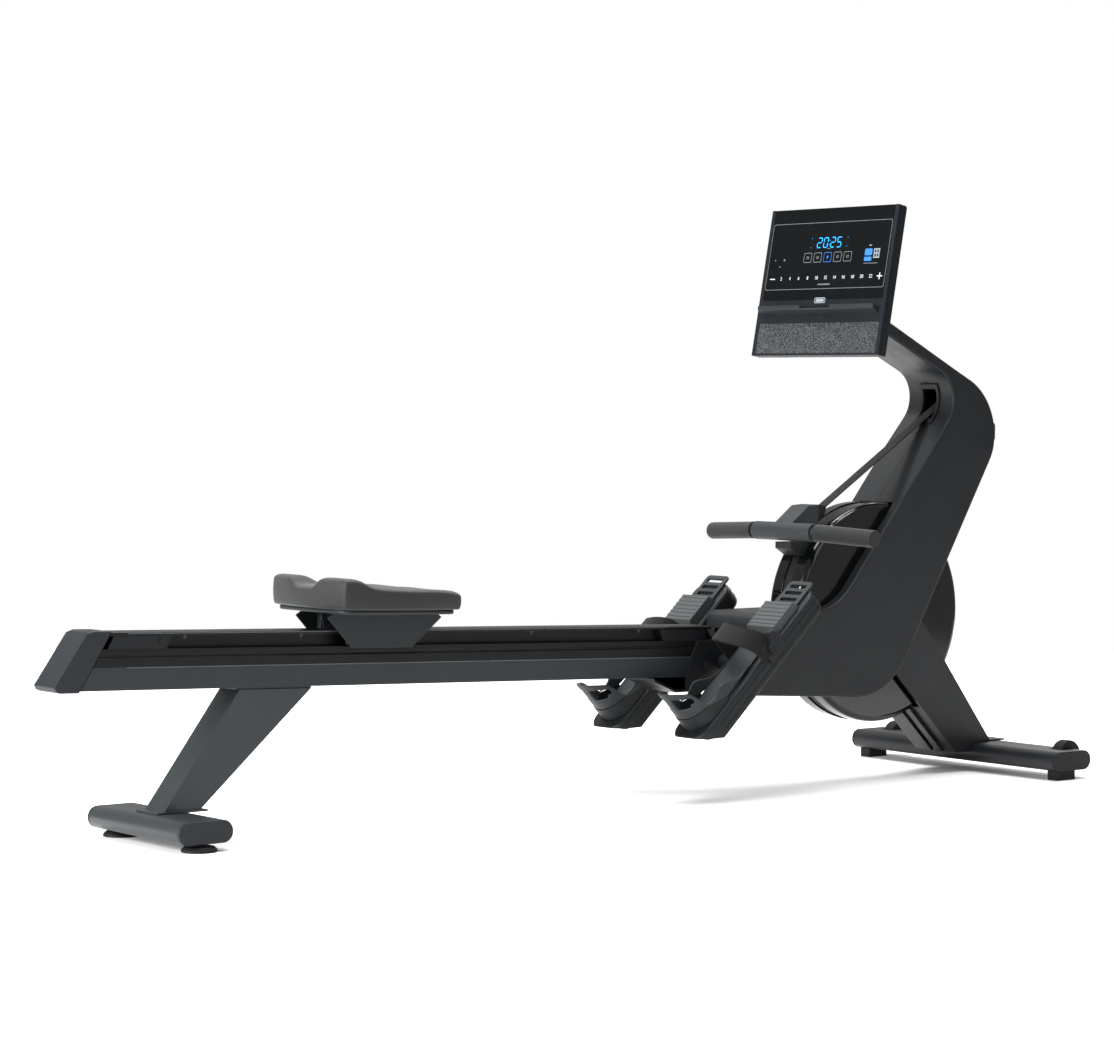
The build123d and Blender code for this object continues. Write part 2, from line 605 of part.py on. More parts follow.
def heel_plate(y):
    """A part with the sliding plate: heel cup below, slotted toe end above."""
    with BuildPart() as part:
        with BuildSketch(sole_plane(y, SLIDER_BASE)):
            with Locations((152, 0)):
                RectangleRounded(384, 2 * SLIDER_HALF, 8)
            with Locations((0, 0)):
                Circle(CUP_RADIUS)
        extrude(amount=SLIDER_THICK)
        with BuildSketch(sole_plane(y, SLIDER_BASE)):
            with BuildLine():
                CenterArc((0, 0), CUP_RADIUS, 90, 180)
                CenterArc((0, 0), CUP_RADIUS - CUP_WALL, 90, 180)
                Line((0, CUP_RADIUS), (58, CUP_RADIUS))
                Line((0, CUP_RADIUS - CUP_WALL), (58, CUP_RADIUS - CUP_WALL))
                Line((58, CUP_RADIUS), (58, CUP_RADIUS - CUP_WALL))
                Line((0, -CUP_RADIUS), (58, -CUP_RADIUS))
                Line((0, CUP_WALL - CUP_RADIUS), (58, CUP_WALL - CUP_RADIUS))
                Line((58, -CUP_RADIUS), (58, CUP_WALL - CUP_RADIUS))
            make_face()
        extrude(amount=92)
        slab(PEDAL, [(62, SLIDER_BASE + SLIDER_THICK), (62, 190), (-60, 190), (-45, 134), (-22, 128), (5, 86)],
             y - 50, y + 50, mode=Mode.SUBTRACT)
        slab(PEDAL, [(-60, 92), (-20, 92), (-20, 110), (-60, 110)], y - 14, y + 14, mode=Mode.SUBTRACT)
        with BuildSketch(sole_plane(y, SLIDER_BASE - 1)):
            for step in range(3):
                with Locations((296 + step * 17, 0)):
                    SlotOverall(44, 9, rotation=90)
        extrude(amount=SLIDER_THICK + 2, mode=Mode.SUBTRACT)
    return part


STRAP_LOW = 142.0
STRAP_HIGH = 186.0
STRAP_ARCH = 112.0


def foot_strap(y):
    """A part with the webbing loop over one foot, standing open as when set up."""
    half = PEDAL_HALF + 1.4
    with BuildPart() as part:
        with BuildSketch(Plane(origin=PEDAL.from_local_coords((STRAP_LOW, 0, -y)),
                               x_dir=(0, 1, 0), z_dir=PEDAL.x_dir)):
            with BuildLine():
                Line((half, 39), (half, 66))
                Spline((half, 66), (30, STRAP_ARCH), (-30, STRAP_ARCH), (-half, 66), tangents=[(0, 1), (0, -1)])
                Line((-half, 66), (-half, 39))
            trace(line_width=2.4)
        extrude(amount=STRAP_HIGH - STRAP_LOW)
    return part


BUCKLE_SLOPE = 176.0         # buckle pivot along and above the sole
BUCKLE_RISE = 44.0
BUCKLE_PIN_RADIUS = 3.0
with BuildPart() as pedal_bases:
    for hand in (-1, 1):
        add(pedal_block(hand * PEDAL_OFFSET).part)
        outer = hand * (PEDAL_OFFSET + PEDAL_HALF)
        post = sorted((outer + hand * 2.8, outer + hand * 14))
        disc(PEDAL, BUCKLE_SLOPE, BUCKLE_RISE, BUCKLE_PIN_RADIUS, *post)
        block(PEDAL, 156, 206, *sorted((outer + hand * 2.8, outer + hand * 4.6)), 22, 62)
        block(PEDAL, 160, 202, *sorted((outer - hand * 1.0, outer + hand * 2.8)), 22, 36)
save(pedal_bases, "pedal_bases")

with BuildPart() as pedal_covers:
    for hand in (-1, 1):
        add(pedal_cover(hand * PEDAL_OFFSET).part)
save(pedal_covers, "pedal_covers")

with BuildPart() as foot_straps:
    for hand in (-1, 1):
        add(foot_strap(hand * PEDAL_OFFSET).part)
save(foot_straps, "foot_straps")

for hand, label in ((-1, "right"), (1, "left")):
    save(heel_plate(hand * PEDAL_OFFSET), f"heel_plate_{label}")
    outer = hand * (PEDAL_OFFSET + PEDAL_HALF)
    with BuildPart() as buckle_cam:
        near, far = sorted((outer + hand * 5.0, outer + hand * 13.0))
        disc(PEDAL, BUCKLE_SLOPE, BUCKLE_RISE, 11, near, far)
        slab(PEDAL, [(167, 40), (185, 40), (196, 72), (184, 76)], near, far)
        disc(PEDAL, BUCKLE_SLOPE, BUCKLE_RISE, BUCKLE_PIN_RADIUS + 0.06, near - 1, far + 1,
             mode=Mode.SUBTRACT)
    save(buckle_cam, f"buckle_cam_{label}")

# ---------------------------------------------------------------- handlebar and strap
GRIP_START = Vector(SLEEVE_STATION - MID_STATION, SLEEVE_HALF, SLEEVE_HEIGHT)
GRIP_END = Vector(SLEEVE_STATION + 17 - MID_STATION, SLEEVE_HALF + GRIP_LENGTH, SLEEVE_HEIGHT - 7)


def grip_plane(hand, start=0.0):
    """Plane across a grip, a given length out from the sleeve's end."""
    root = Vector(GRIP_START.X, hand * GRIP_START.Y, GRIP_START.Z)
    tip = Vector(GRIP_END.X, hand * GRIP_END.Y, GRIP_END.Z)
    out = (tip - root).normalized()
    return Plane(origin=root + out * start, z_dir=out)


with BuildPart() as handle_core:
    disc(SIDE, SLEEVE_STATION, SLEEVE_HEIGHT, BAR_CORE_RADIUS, -SLEEVE_HALF, SLEEVE_HALF)
    for hand in (-1, 1):
        with BuildSketch(grip_plane(hand, -1.0)):
            Circle(BAR_CORE_RADIUS)
        extrude(amount=GRIP_LENGTH - 6)
save(handle_core, "handlebar_tube")

with BuildPart() as handle_grips:
    for hand in (-1, 1):
        with BuildSketch(grip_plane(hand, 3.0)):
            Circle(GRIP_RADIUS)
            Circle(BAR_CORE_RADIUS + 0.05, mode=Mode.SUBTRACT)
        extrude(amount=GRIP_LENGTH - 10)
        with BuildSketch(grip_plane(hand, GRIP_LENGTH - 7)):
            Circle(GRIP_RADIUS)
        extrude(amount=4)
    rims = handle_grips.edges().filter_by(GeomType.CIRCLE).sort_by(Axis.Y)
    fillet([rims[0], rims[-1]], 2.5)
save(handle_grips, "handlebar_grips")

with BuildPart() as handle_sleeve:
    disc(SIDE, SLEEVE_STATION, SLEEVE_HEIGHT, SLEEVE_RADIUS, 2 - SLEEVE_HALF, SLEEVE_HALF - 2)
    fillet(handle_sleeve.edges().filter_by(GeomType.CIRCLE), 2.0)
    slab(SIDE, [(1392, 500), (1404, 472), (1424, 480), (1466, 500), (1466, 538), (1440, 536)], -24, 24)
    disc(SIDE, SLEEVE_STATION, SLEEVE_HEIGHT, BAR_CORE_RADIUS + 0.05, -SLEEVE_HALF - 1,
         SLEEVE_HALF + 1, mode=Mode.SUBTRACT)
save(handle_sleeve, "handlebar_sleeve")

with BuildPart() as strap_socket:
    slab(SIDE, [(1466, 504), (1488, 512), (1494, 536), (1466, 538)], -17, 17)
    slab(SIDE, [(1476, 517), (1520, 545), (1517, 549), (1473, 522)], -12.4, 12.4, mode=Mode.SUBTRACT)
save(strap_socket, "strap_socket")

with BuildPart() as drive_strap:
    with BuildSketch(SIDE):
        with BuildLine():
            turn = CenterArc((GUIDE_STATION, GUIDE_HEIGHT), GUIDE_RADIUS + 1.3, 122.13, -140.9)
            Line((1482.5, 524.4), turn @ 0)
            Line(turn @ 1, (DRUM_STATION + 27.9, DRUM_HEIGHT - 9.5))
        trace(line_width=STRAP_THICKNESS)
    extrude(amount=STRAP_HALF, both=True)
save(drive_strap, "drive_strap")

with BuildPart() as handle_cradle:
    slab(SIDE, [(1396, 455), (1396, 467), (1434, 467), (1440, 474), (1468, 486), (1480, 490), (1510, 512),
                (1520, 512), (1520, 440), (1420, 440)], -22, 22)
    disc(SIDE, FLYWHEEL_STATION, FLYWHEEL_HEIGHT, HOUSING_RADIUS + 0.1, -30, 30, mode=Mode.SUBTRACT)
save(handle_cradle, "handle_cradle")

# ---------------------------------------------------------------- console
with BuildPart() as console_back:
    block(CONSOLE, 6, CONSOLE_THICK, -CONSOLE_HALF, CONSOLE_HALF, 0, CONSOLE_TALL)
    fillet(console_back.edges().filter_by(Axis.Y).group_by(Axis.X)[-1], 5.0)
    block(CONSOLE, 5, CONSOLE_THICK - 3, -CONSOLE_HALF + 3, CONSOLE_HALF - 3, 3, CONSOLE_TALL - 3,
          mode=Mode.SUBTRACT)
    block(CONSOLE, CONSOLE_THICK, CONSOLE_THICK + 12, -60, 60, 24, 150)
save(console_back, "console_back")

BAND_TOP = 64.0
with BuildPart() as console_front:
    block(CONSOLE, 1, 5.8, -CONSOLE_HALF, CONSOLE_HALF, BAND_TOP + 0.2, CONSOLE_TALL)
    block(CONSOLE, 3.5, 5.8, -CONSOLE_HALF, CONSOLE_HALF, 0, BAND_TOP + 0.2)
    block(CONSOLE, 0, 3.5, -CONSOLE_HALF, -CONSOLE_HALF + 9, 0, CONSOLE_TALL)
    block(CONSOLE, 0, 3.5, CONSOLE_HALF - 9, CONSOLE_HALF, 0, CONSOLE_TALL)
    block(CONSOLE, 0, 3.5, -CONSOLE_HALF, CONSOLE_HALF, 0, 4)
    block(CONSOLE, 0, 3, -46, 46, 205, 232, mode=Mode.SUBTRACT)
save(console_front, "console_front")

with BuildPart() as console_overlay:
    block(CONSOLE, 0.2, 1.0, -CONSOLE_HALF + 9.2, CONSOLE_HALF - 9.2, 110, CONSOLE_TALL - 1)
    block(CONSOLE, 0, 3, -46, 46, 205, 232, mode=Mode.SUBTRACT)
save(console_overlay, "console_overlay")

with BuildPart() as display_window:
    block(CONSOLE, 0.6, 2.8, -45.8, 45.8, 205.2, 231.8)
save(display_window, "display_window")

with BuildPart() as display_board:
    block(CONSOLE, 8, 10, -140, 140, 100, 270)
    for post in (-120, 120):
        for level in (120, 250):
            block(CONSOLE, 5.8, 8, post - 3, post + 3, level, level + 6)
    for hand in (-1, 1):
        behind = Plane(origin=CONSOLE.from_local_coords((6, 34, hand * 110)), x_dir=(0, 1, 0),
                       z_dir=CONSOLE.x_dir)
        with BuildSketch(behind):
            Circle(24)
        extrude(amount=11)
save(display_board, "console_electronics")

with BuildPart() as speaker_fabric:
    block(CONSOLE, 1.0, 3.4, -CONSOLE_HALF + 9.2, CONSOLE_HALF - 9.2, 4.2, BAND_TOP)
save(speaker_fabric, "speaker_fabric")

with BuildPart() as tablet_ledge:
    slab(CONSOLE, [(0.9, 82), (-15, 87), (-17, 96), (-13.5, 96), (-12, 90), (0.9, 87)], -162, 162)
    block(CONSOLE, -20, -11, -42, 42, 90.2, 97, mode=Mode.SUBTRACT)
save(tablet_ledge, "tablet_ledge")

with BuildPart() as tilt_bracket:
    bracket_face = CONSOLE_THICK + 12
    block(CONSOLE, bracket_face, bracket_face + 3, -40, 40, 40, 120)
    for hand in (-1, 1):
        with BuildSketch(SIDE.offset(-on_side(hand, (22, 28))[0])):
            with BuildLine():
                Polyline((1516, 868), (1528, 936), (TILT_STATION + 9, TILT_HEIGHT + 9),
                         (TILT_STATION + 9, TILT_HEIGHT - 9), close=True)
            make_face()
        extrude(amount=-6)
    disc(SIDE, TILT_STATION, TILT_HEIGHT, TILT_PIN_RADIUS, -31, 31)
save(tilt_bracket, "console_tilt_bracket")


# ---------------------------------------------------------------- rail
RAIL_START = -108.0
RAIL_REAR_RAKE = 61.0


def rail_profile(outline, mode=Mode.ADD):
    """Inside a part: a section across the rail, filled along its whole length."""
    start = Plane(origin=RAIL.from_local_coords((-200, 0, 0)), x_dir=(0, 1, 0), z_dir=RAIL.x_dir)
    with BuildSketch(start) as section:
        with BuildLine():
            Polyline(*outline, close=True)
        make_face()
    extrude(section.sketch, amount=RAIL_NOSE + 200, mode=mode)


def trim_rail_ends():
    """Inside a part: cut the raked rear end and the rounded nose."""
    rake = [(-300, 5), (RAIL_START, 5), (RAIL_START - RAIL_REAR_RAKE, -100), (-300, -100)]
    slab(RAIL, rake, -40, 40, mode=Mode.SUBTRACT)
    nose = [(1180, 5), (1230, 5), (1230, -100), (1192, -100), (1208, -62), (1204, -26)]
    slab(RAIL, nose, -40, 40, mode=Mode.SUBTRACT)


def lock_bore():
    """Inside a part: the blind hole that the fold lock's pin goes into."""
    disc(SIDE, LOCK_STATION, LOCK_HEIGHT, LOCK_PIN_RADIUS + 0.6, 20, 40, mode=Mode.SUBTRACT)


def half_to_full(points):
    """Close a right-hand outline into the section on both sides of the rail."""
    return points + [(-y, z) for y, z in reversed(points)]


TRACK_SECTION = half_to_full([
    (RAIL_HALF, 0),
    (RAIL_HALF, -RAIL_LIP),
    (RAIL_WEB_HALF, -RAIL_LIP),
    (RAIL_WEB_HALF, -RAIL_CHANNEL_FLOOR),
    (RAIL_HALF, -RAIL_CHANNEL_FLOOR),
    (RAIL_HALF, -36),
    (RAIL_HALF - 2, -37.5),
    (RAIL_HALF - 2, -40),
    (RAIL_HALF, -41.5),
    (RAIL_HALF, -RAIL_TRACK_DEPTH + 0.1),
])
with BuildPart() as rail_track:
    rail_profile(TRACK_SECTION)
    trim_rail_ends()
    lock_bore()
save(rail_track, "rail_track")

with BuildPart() as rail_beam:
    rail_profile(half_to_full([(RAIL_HALF, -RAIL_TRACK_DEPTH), (RAIL_HALF, -RAIL_BEAM_DEPTH)]))
    rail_profile(half_to_full([(RAIL_HALF - 3, -60), (RAIL_HALF - 3, -92)]), mode=Mode.SUBTRACT)
    trim_rail_ends()
    disc(SIDE, FOLD_STATION, FOLD_HEIGHT, 13.0, -RAIL_HALF, RAIL_HALF)
    disc(SIDE, FOLD_STATION, FOLD_HEIGHT, FOLD_PIN_RADIUS + 0.05, -40, 40, mode=Mode.SUBTRACT)
    lock_bore()
save(rail_beam, "rail_beam")

with BuildPart() as rail_end_cap:
    slab(RAIL, [(-110.6, 2.5), (-146, 2.5), (-158, -2), (-215.7, -88), (-211.7, -95), (-204, -98),
                (-169, -98)], -34, 34)
    fillet(rail_end_cap.edges().filter_by(Axis.Y).group_by(Axis.X)[:3], 2.0)
save(rail_end_cap, "rail_end_cap")


STOP_OUTLINES = (
    [(-106, -6), (4, -6), (-4, -27), (-117, -27)],
    [(1063, -6), (1174, -6), (1174, -27), (1071, -27)],
)
with BuildPart() as stop_blocks:
    for outline, bolt in zip(STOP_OUTLINES, (-16, 1084)):
        for hand in (-1, 1):
            slab(RAIL, outline, *on_side(hand, (RAIL_WEB_HALF, RAIL_HALF - 0.5)))
            disc(RAIL, bolt, -15.5, 4.5, *on_side(hand, (RAIL_HALF - 0.5, RAIL_HALF + 1.5)))
save(stop_blocks, "rail_stop_blocks")

# ---------------------------------------------------------------- seat and its carriage
ROLLER_INNER = RAIL_WEB_HALF + 2.0
ROLLER_OUTER = 31.0
with BuildPart() as seat_carriage:
    for hand in (-1, 1):
        near, far = on_side(hand, (34.5, 37.5))
        slab(RAIL, [(348, 30), (492, 30), (478, -25), (362, -25)], near, far)
        for axle in (-ROLLER_REACH, ROLLER_REACH):
            near_pin, far_pin = on_side(hand, (ROLLER_INNER, 37.5))
            disc(RAIL, SEAT_STATION + axle, -ROLLER_DROP, 3.0, near_pin, far_pin)
            ring(RAIL, SEAT_STATION + axle, -ROLLER_DROP, 6.0, 2.9, *on_side(hand, (31.6, 34.5)))
    block(RAIL, 348, 492, -37.5, 37.5, 27, 30)
save(seat_carriage, "seat_carriage")

for reach, name in ((-ROLLER_REACH, "seat_rollers_rear"), (ROLLER_REACH, "seat_rollers_front")):
    with BuildPart() as rollers:
        for hand in (-1, 1):
            near, far = on_side(hand, (ROLLER_INNER, ROLLER_OUTER))
            ring(RAIL, SEAT_STATION + reach, -ROLLER_DROP, ROLLER_RADIUS, 3.05, near, far)
    save(rollers, name)

with BuildPart() as seat_skirts:
    for hand in (-1, 1):
        near, far = on_side(hand, (37.5, 50))
        slab(RAIL, [(304, 22), (316, 29.8), (536, 29.8), (546, 22), (484, -30), (356, -30)], near, far)
        near, far = on_side(hand, (30, 46.5))
        block(RAIL, 300, 560, near, far, -27, 26.9, mode=Mode.SUBTRACT)
    for hand in (-1, 1):
        near, far = on_side(hand, (37.5, 46.5))
        block(RAIL, 350, 490, near, far, -24, 26.9)
    fillet(seat_skirts.edges().filter_by(Axis.Y).group_by(SortBy.LENGTH)[-1], 3.0)
save(seat_skirts, "seat_skirts")

with BuildPart() as seat_pan:
    with BuildSketch(Plane(origin=RAIL.from_local_coords((SEAT_STATION, 30, 0)), x_dir=RAIL.x_dir,
                           z_dir=(sin(radians(RAIL_ANGLE)), 0, cos(radians(RAIL_ANGLE))))):
        RectangleRounded(SEAT_LENGTH - 34, 2 * SEAT_HALF - 34, 26)
    extrude(amount=SEAT_BASE - 30)
save(seat_pan, "seat_pan")

SEAT_REAR = SEAT_STATION - SEAT_LENGTH / 2
SEAT_FRONT = SEAT_STATION + SEAT_LENGTH / 2
with BuildPart() as seat_pad:
    with BuildSketch(Plane(origin=RAIL.from_local_coords((SEAT_STATION, SEAT_BASE, 0)), x_dir=RAIL.x_dir,
                           z_dir=(sin(radians(RAIL_ANGLE)), 0, cos(radians(RAIL_ANGLE))))):
        RectangleRounded(SEAT_LENGTH, 2 * SEAT_HALF, 30)
    extrude(amount=SEAT_SIDE + SEAT_HORN)
    low = SEAT_BASE + SEAT_SIDE
    with BuildSketch(RAIL):
        with BuildLine():
            Polyline(
                (SEAT_REAR + 50, 120),
                (SEAT_REAR + 62, low + SEAT_HORN),
                (SEAT_REAR + 96, low - 4),
                (SEAT_REAR + 190, low - 7),
                (SEAT_FRONT - 30, low - 3),
                (SEAT_FRONT + 5, low - 22),
                (SEAT_FRONT + 5, 120),
                close=True,
            )
        make_face()
    extrude(amount=SEAT_HALF + 5, both=True, mode=Mode.SUBTRACT)
    with BuildSketch(Plane(origin=RAIL.from_local_coords((SEAT_REAR - 5, 0, 0)), x_dir=(0, 1, 0),
                           z_dir=RAIL.x_dir)):
        with BuildLine():
            Polyline((-26, 80), (26, 80), (44, 120), (-44, 120), close=True)
        make_face()
    extrude(amount=110, mode=Mode.SUBTRACT)
save(seat_pad, "seat_pad")

# ---------------------------------------------------------------- write every piece
os.makedirs("parts", exist_ok=True)
for piece_name, piece in PIECES:
    export_step(piece, f"parts/{piece_name}.step")
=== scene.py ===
"""Looks of a folding magnetic rowing machine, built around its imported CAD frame.

Every piece is in metres in the part's own frame: +X towards the flywheel, +Y to the
left of someone facing it, +Z up, with the floor at Z = 0. Sizes are given in
millimetres where a maker would, and the SIDE, RAIL, PEDAL and CONSOLE planes place
them, as the part's own planes do.
"""

import json
import logging
import math
from dataclasses import dataclass
from enum import Enum
from typing import Iterable, Sequence

import bmesh
import bpy
from mathutils import Matrix, Vector

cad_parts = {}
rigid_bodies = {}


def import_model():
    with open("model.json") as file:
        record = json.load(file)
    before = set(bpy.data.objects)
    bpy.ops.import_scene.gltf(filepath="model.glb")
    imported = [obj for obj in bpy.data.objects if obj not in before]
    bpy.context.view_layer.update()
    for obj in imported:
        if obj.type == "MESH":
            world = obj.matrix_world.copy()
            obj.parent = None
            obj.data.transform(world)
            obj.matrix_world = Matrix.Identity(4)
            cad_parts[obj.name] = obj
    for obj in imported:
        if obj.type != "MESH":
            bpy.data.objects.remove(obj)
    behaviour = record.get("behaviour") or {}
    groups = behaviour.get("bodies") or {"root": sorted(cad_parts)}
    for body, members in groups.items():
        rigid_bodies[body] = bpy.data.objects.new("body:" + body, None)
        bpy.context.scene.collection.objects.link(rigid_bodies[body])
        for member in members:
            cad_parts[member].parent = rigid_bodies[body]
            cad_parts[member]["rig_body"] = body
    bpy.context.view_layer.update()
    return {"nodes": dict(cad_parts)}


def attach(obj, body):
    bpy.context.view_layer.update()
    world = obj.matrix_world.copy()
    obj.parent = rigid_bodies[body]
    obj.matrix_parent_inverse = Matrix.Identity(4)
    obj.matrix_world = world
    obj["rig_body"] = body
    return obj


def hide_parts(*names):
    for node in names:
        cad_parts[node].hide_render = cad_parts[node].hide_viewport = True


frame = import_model()
LOG = logging.getLogger("rower")
MM = 0.001
SIDES = {"right": -1, "left": 1}
Tree = bpy.types.NodeTree
Socket = bpy.types.NodeSocket
BMesh = bmesh.types.BMesh
Outline = Sequence[tuple[float, float]]
Corners = Sequence[tuple[float, float, float]]
PLASTIC_IOR = 1.5
GRAIN_RISE = 0.3  # how high a grain stands, as a share of its spacing


# ---------------------------------------------------------------- places
@dataclass(frozen=True)
class Place:
    """A working plane of the machine that stands along X and Z.

    station and height are its origin in millimetres from the rear feet and the floor,
    and angle is the slope of its first axis in degrees, upwards towards the front.
    """

    station: float
    height: float
    angle: float = 0.0
    middle: float = 873.5

    def at(self, along: float, above: float, across: float = 0.0) -> Vector:
        """Return the point at a length along, above and across the plane, in metres."""
        turn = math.radians(self.angle)
        x = self.station - self.middle + along * math.cos(turn) - above * math.sin(turn)
        z = self.height + along * math.sin(turn) + above * math.cos(turn)
        return Vector((x, across, z)) * MM

    def matrix(self, along: float = 0.0, above: float = 0.0, across: float = 0.0) -> Matrix:
        """Return the frame whose X runs along, Y across to the left and Z above, at a point."""
        turn = math.radians(self.angle)
        place = Matrix.Rotation(-turn, 4, "Y")
        place.translation = self.at(along, above, across)
        return place


SIDE = Place(0.0, 0.0)
RAIL = Place(0.0, 354.2, -math.degrees(math.atan(0.032)))
PEDAL = Place(1118.0, 130.0, 43.0)
CONSOLE = Place(1471.0, 825.0, -10.8)


PEDAL_ALONG = (PEDAL.at(1.0, 0.0) - PEDAL.at(0.0, 0.0)).normalized()
PEDAL_ABOVE = (PEDAL.at(0.0, 1.0) - PEDAL.at(0.0, 0.0)).normalized()


def console_face(across: float, up: float, out: float = 0.0) -> Matrix:
    """Return the frame of a mark on the console's face.

    Args:
        across: millimetres to the right of the middle, as the rower sees it.
        up: millimetres up the face from its lower edge.
        out: millimetres out of the face towards the rower.

    Returns:
        A matrix whose X reads to the right, Y runs up the face and Z out of it.
    """
    lean = math.radians(10.8)
    right = Vector((0.0, -1.0, 0.0))
    upward = Vector((math.sin(lean), 0.0, math.cos(lean)))
    outward = Vector((-math.cos(lean), 0.0, math.sin(lean)))
    spot = CONSOLE.at(-out, up, -across)
    rows = [(right[i], upward[i], outward[i], spot[i]) for i in range(3)]
    return Matrix([*rows, (0.0, 0.0, 0.0, 1.0)])


# ---------------------------------------------------------------- finishes
def linear(code: str) -> tuple[float, float, float, float]:
    """Turn an sRGB hex code into linear red, green, blue and alpha."""
    parts = [int(code[i : i + 2], 16) / 255 for i in (1, 3, 5)]
    shades = [p / 12.92 if p <= 0.04045 else ((p + 0.055) / 1.055) ** 2.4 for p in parts]
    return (shades[0], shades[1], shades[2], 1.0)


def add_node(
    tree: Tree, kind: str, inputs: dict | None = None, **settings: object
) -> bpy.types.Node:
    """Add a node with its settings, and set or link its inputs.

    Args:
        tree: the material's node tree.
        kind: the node's type name.
        inputs: input name or number to a value, or to an output socket to link.
        settings: properties of the node itself.

    Returns:
        The new node.
    """
    node = tree.nodes.new(kind)
    for name, value in settings.items():
        setattr(node, name, value)
    for name, value in (inputs or {}).items():
        if isinstance(value, Socket):
            tree.links.new(value, node.inputs[name])
        else:
            node.inputs[name].default_value = value
    return node


def blank_material(name: str) -> tuple[bpy.types.Material, Tree, bpy.types.Node]:
    """Return a new material, its tree and its main shader, which is joined to the output."""
    material = bpy.data.materials.new(name)
    material.use_nodes = True
    tree = material.node_tree
    tree.nodes.clear()
    shader = add_node(tree, "ShaderNodeBsdfPrincipled")
    add_node(tree, "ShaderNodeOutputMaterial", {"Surface": shader.outputs["BSDF"]})
    return material, tree, shader


def colour_mix(tree: Tree, factor: Socket, one: str, two: str) -> Socket:
    """Blend two sRGB hex colours by a factor, and return the blend's socket."""
    node = add_node(tree, "ShaderNodeMix", {"Factor": factor}, data_type="RGBA")
    # this node has sockets of the same name for each type, so its colours go by number
    node.inputs[6].default_value = linear(one)
    node.inputs[7].default_value = linear(two)
    return node.outputs[2]


def noise(tree: Tree, spot: Socket, size_mm: float, detail: float) -> Socket:
    """Return the factor of a noise whose cells are size_mm wide."""
    inputs = {"Vector": spot, "Scale": per_metre(size_mm), "Detail": detail}
    return add_node(tree, "ShaderNodeTexNoise", inputs).outputs["Fac"]


def set_inputs(shader: bpy.types.Node, values: dict[str, object]) -> None:
    """Set a shader's own values by name."""
    for name, value in values.items():
        shader.inputs[name].default_value = value


def per_metre(size_mm: float) -> float:
    """Return the texture scale at which one pattern cell is size_mm wide."""
    return 1000.0 / size_mm


@dataclass(frozen=True)
class Surface:
    """A finish with a fine grain, a slow change of shade and a little handling wear.

    grain_mm is the real spacing of the grain, and drift_mm that of the change of shade.
    """

    name: str
    colour: str
    drift: str
    roughness: float = 0.45
    spread: float = 0.08
    metallic: float = 0.0
    grain_mm: float = 1.0
    grain_depth: float = 0.12
    drift_mm: float = 70.0
    sheen: float = 0.0
    specular: float = 0.22
    stretch: tuple[float, float, float] = (1.0, 1.0, 1.0)

    def make(self) -> bpy.types.Material:
        """Build the material's nodes and return it."""
        material, tree, shader = blank_material(self.name)
        spot = add_node(tree, "ShaderNodeTexCoord").outputs["Object"]
        laid = add_node(tree, "ShaderNodeMapping", {"Vector": spot, "Scale": self.stretch}).outputs[0]
        slow = noise(tree, spot, self.drift_mm, 3.0)
        fine = noise(tree, laid, self.grain_mm, 2.0)
        tree.links.new(colour_mix(tree, slow, self.colour, self.drift), shader.inputs["Base Color"])
        rough = add_node(
            tree,
            "ShaderNodeMapRange",
            {
                "Value": slow,
                "From Min": 0.3,
                "From Max": 0.7,
                "To Min": max(self.roughness - self.spread, 0.02),
                "To Max": self.roughness + self.spread,
            },
        )
        tree.links.new(rough.outputs[0], shader.inputs["Roughness"])
        bump = add_node(
            tree,
            "ShaderNodeBump",
            {"Strength": self.grain_depth, "Distance": self.grain_mm * MM * GRAIN_RISE, "Height": fine},
        )
        tree.links.new(bump.outputs[0], shader.inputs["Normal"])
        values = {"Metallic": self.metallic, "Sheen Weight": self.sheen, "Specular IOR Level": self.specular}
        if not self.metallic:
            values["IOR"] = PLASTIC_IOR
        set_inputs(shader, values)
        return material


@dataclass(frozen=True)
class Webbing:
    """Woven nylon tape: ribs across the tape, with a finer warp along it.

    rib_mm is the spacing of the ribs, drawn about twice as coarse as real so that it shows.
    """

    name: str
    colour: str
    light: str
    rib_mm: float = 2.4
    turn: tuple[float, float, float] = (0.0, 0.0, 0.0)

    def make(self) -> bpy.types.Material:
        """Build the material's nodes and return it."""
        material, tree, shader = blank_material(self.name)
        spot = add_node(tree, "ShaderNodeTexCoord").outputs["Object"]
        laid = add_node(tree, "ShaderNodeMapping", {"Vector": spot, "Rotation": self.turn}).outputs[0]
        ribs = add_node(
            tree,
            "ShaderNodeTexWave",
            {"Vector": laid, "Scale": per_metre(self.rib_mm) / 2, "Distortion": 0.4, "Detail": 1.0},
            bands_direction="X",
        )
        warp = add_node(
            tree,
            "ShaderNodeTexWave",
            {"Vector": laid, "Scale": per_metre(self.rib_mm) / 3.0, "Distortion": 0.6, "Detail": 1.0},
            bands_direction="Y",
        )
        crossing = {0: ribs.outputs["Fac"], 1: warp.outputs["Fac"]}
        weave = add_node(tree, "ShaderNodeMath", crossing, operation="MULTIPLY").outputs[0]
        tree.links.new(colour_mix(tree, weave, self.colour, self.light), shader.inputs["Base Color"])
        bump = add_node(tree, "ShaderNodeBump", {"Strength": 0.5, "Distance": 0.6 * MM, "Height": weave})
        tree.links.new(bump.outputs[0], shader.inputs["Normal"])
        set_inputs(shader, {"Roughness": 0.78, "Specular IOR Level": 0.2, "Sheen Weight": 0.06})
        return material


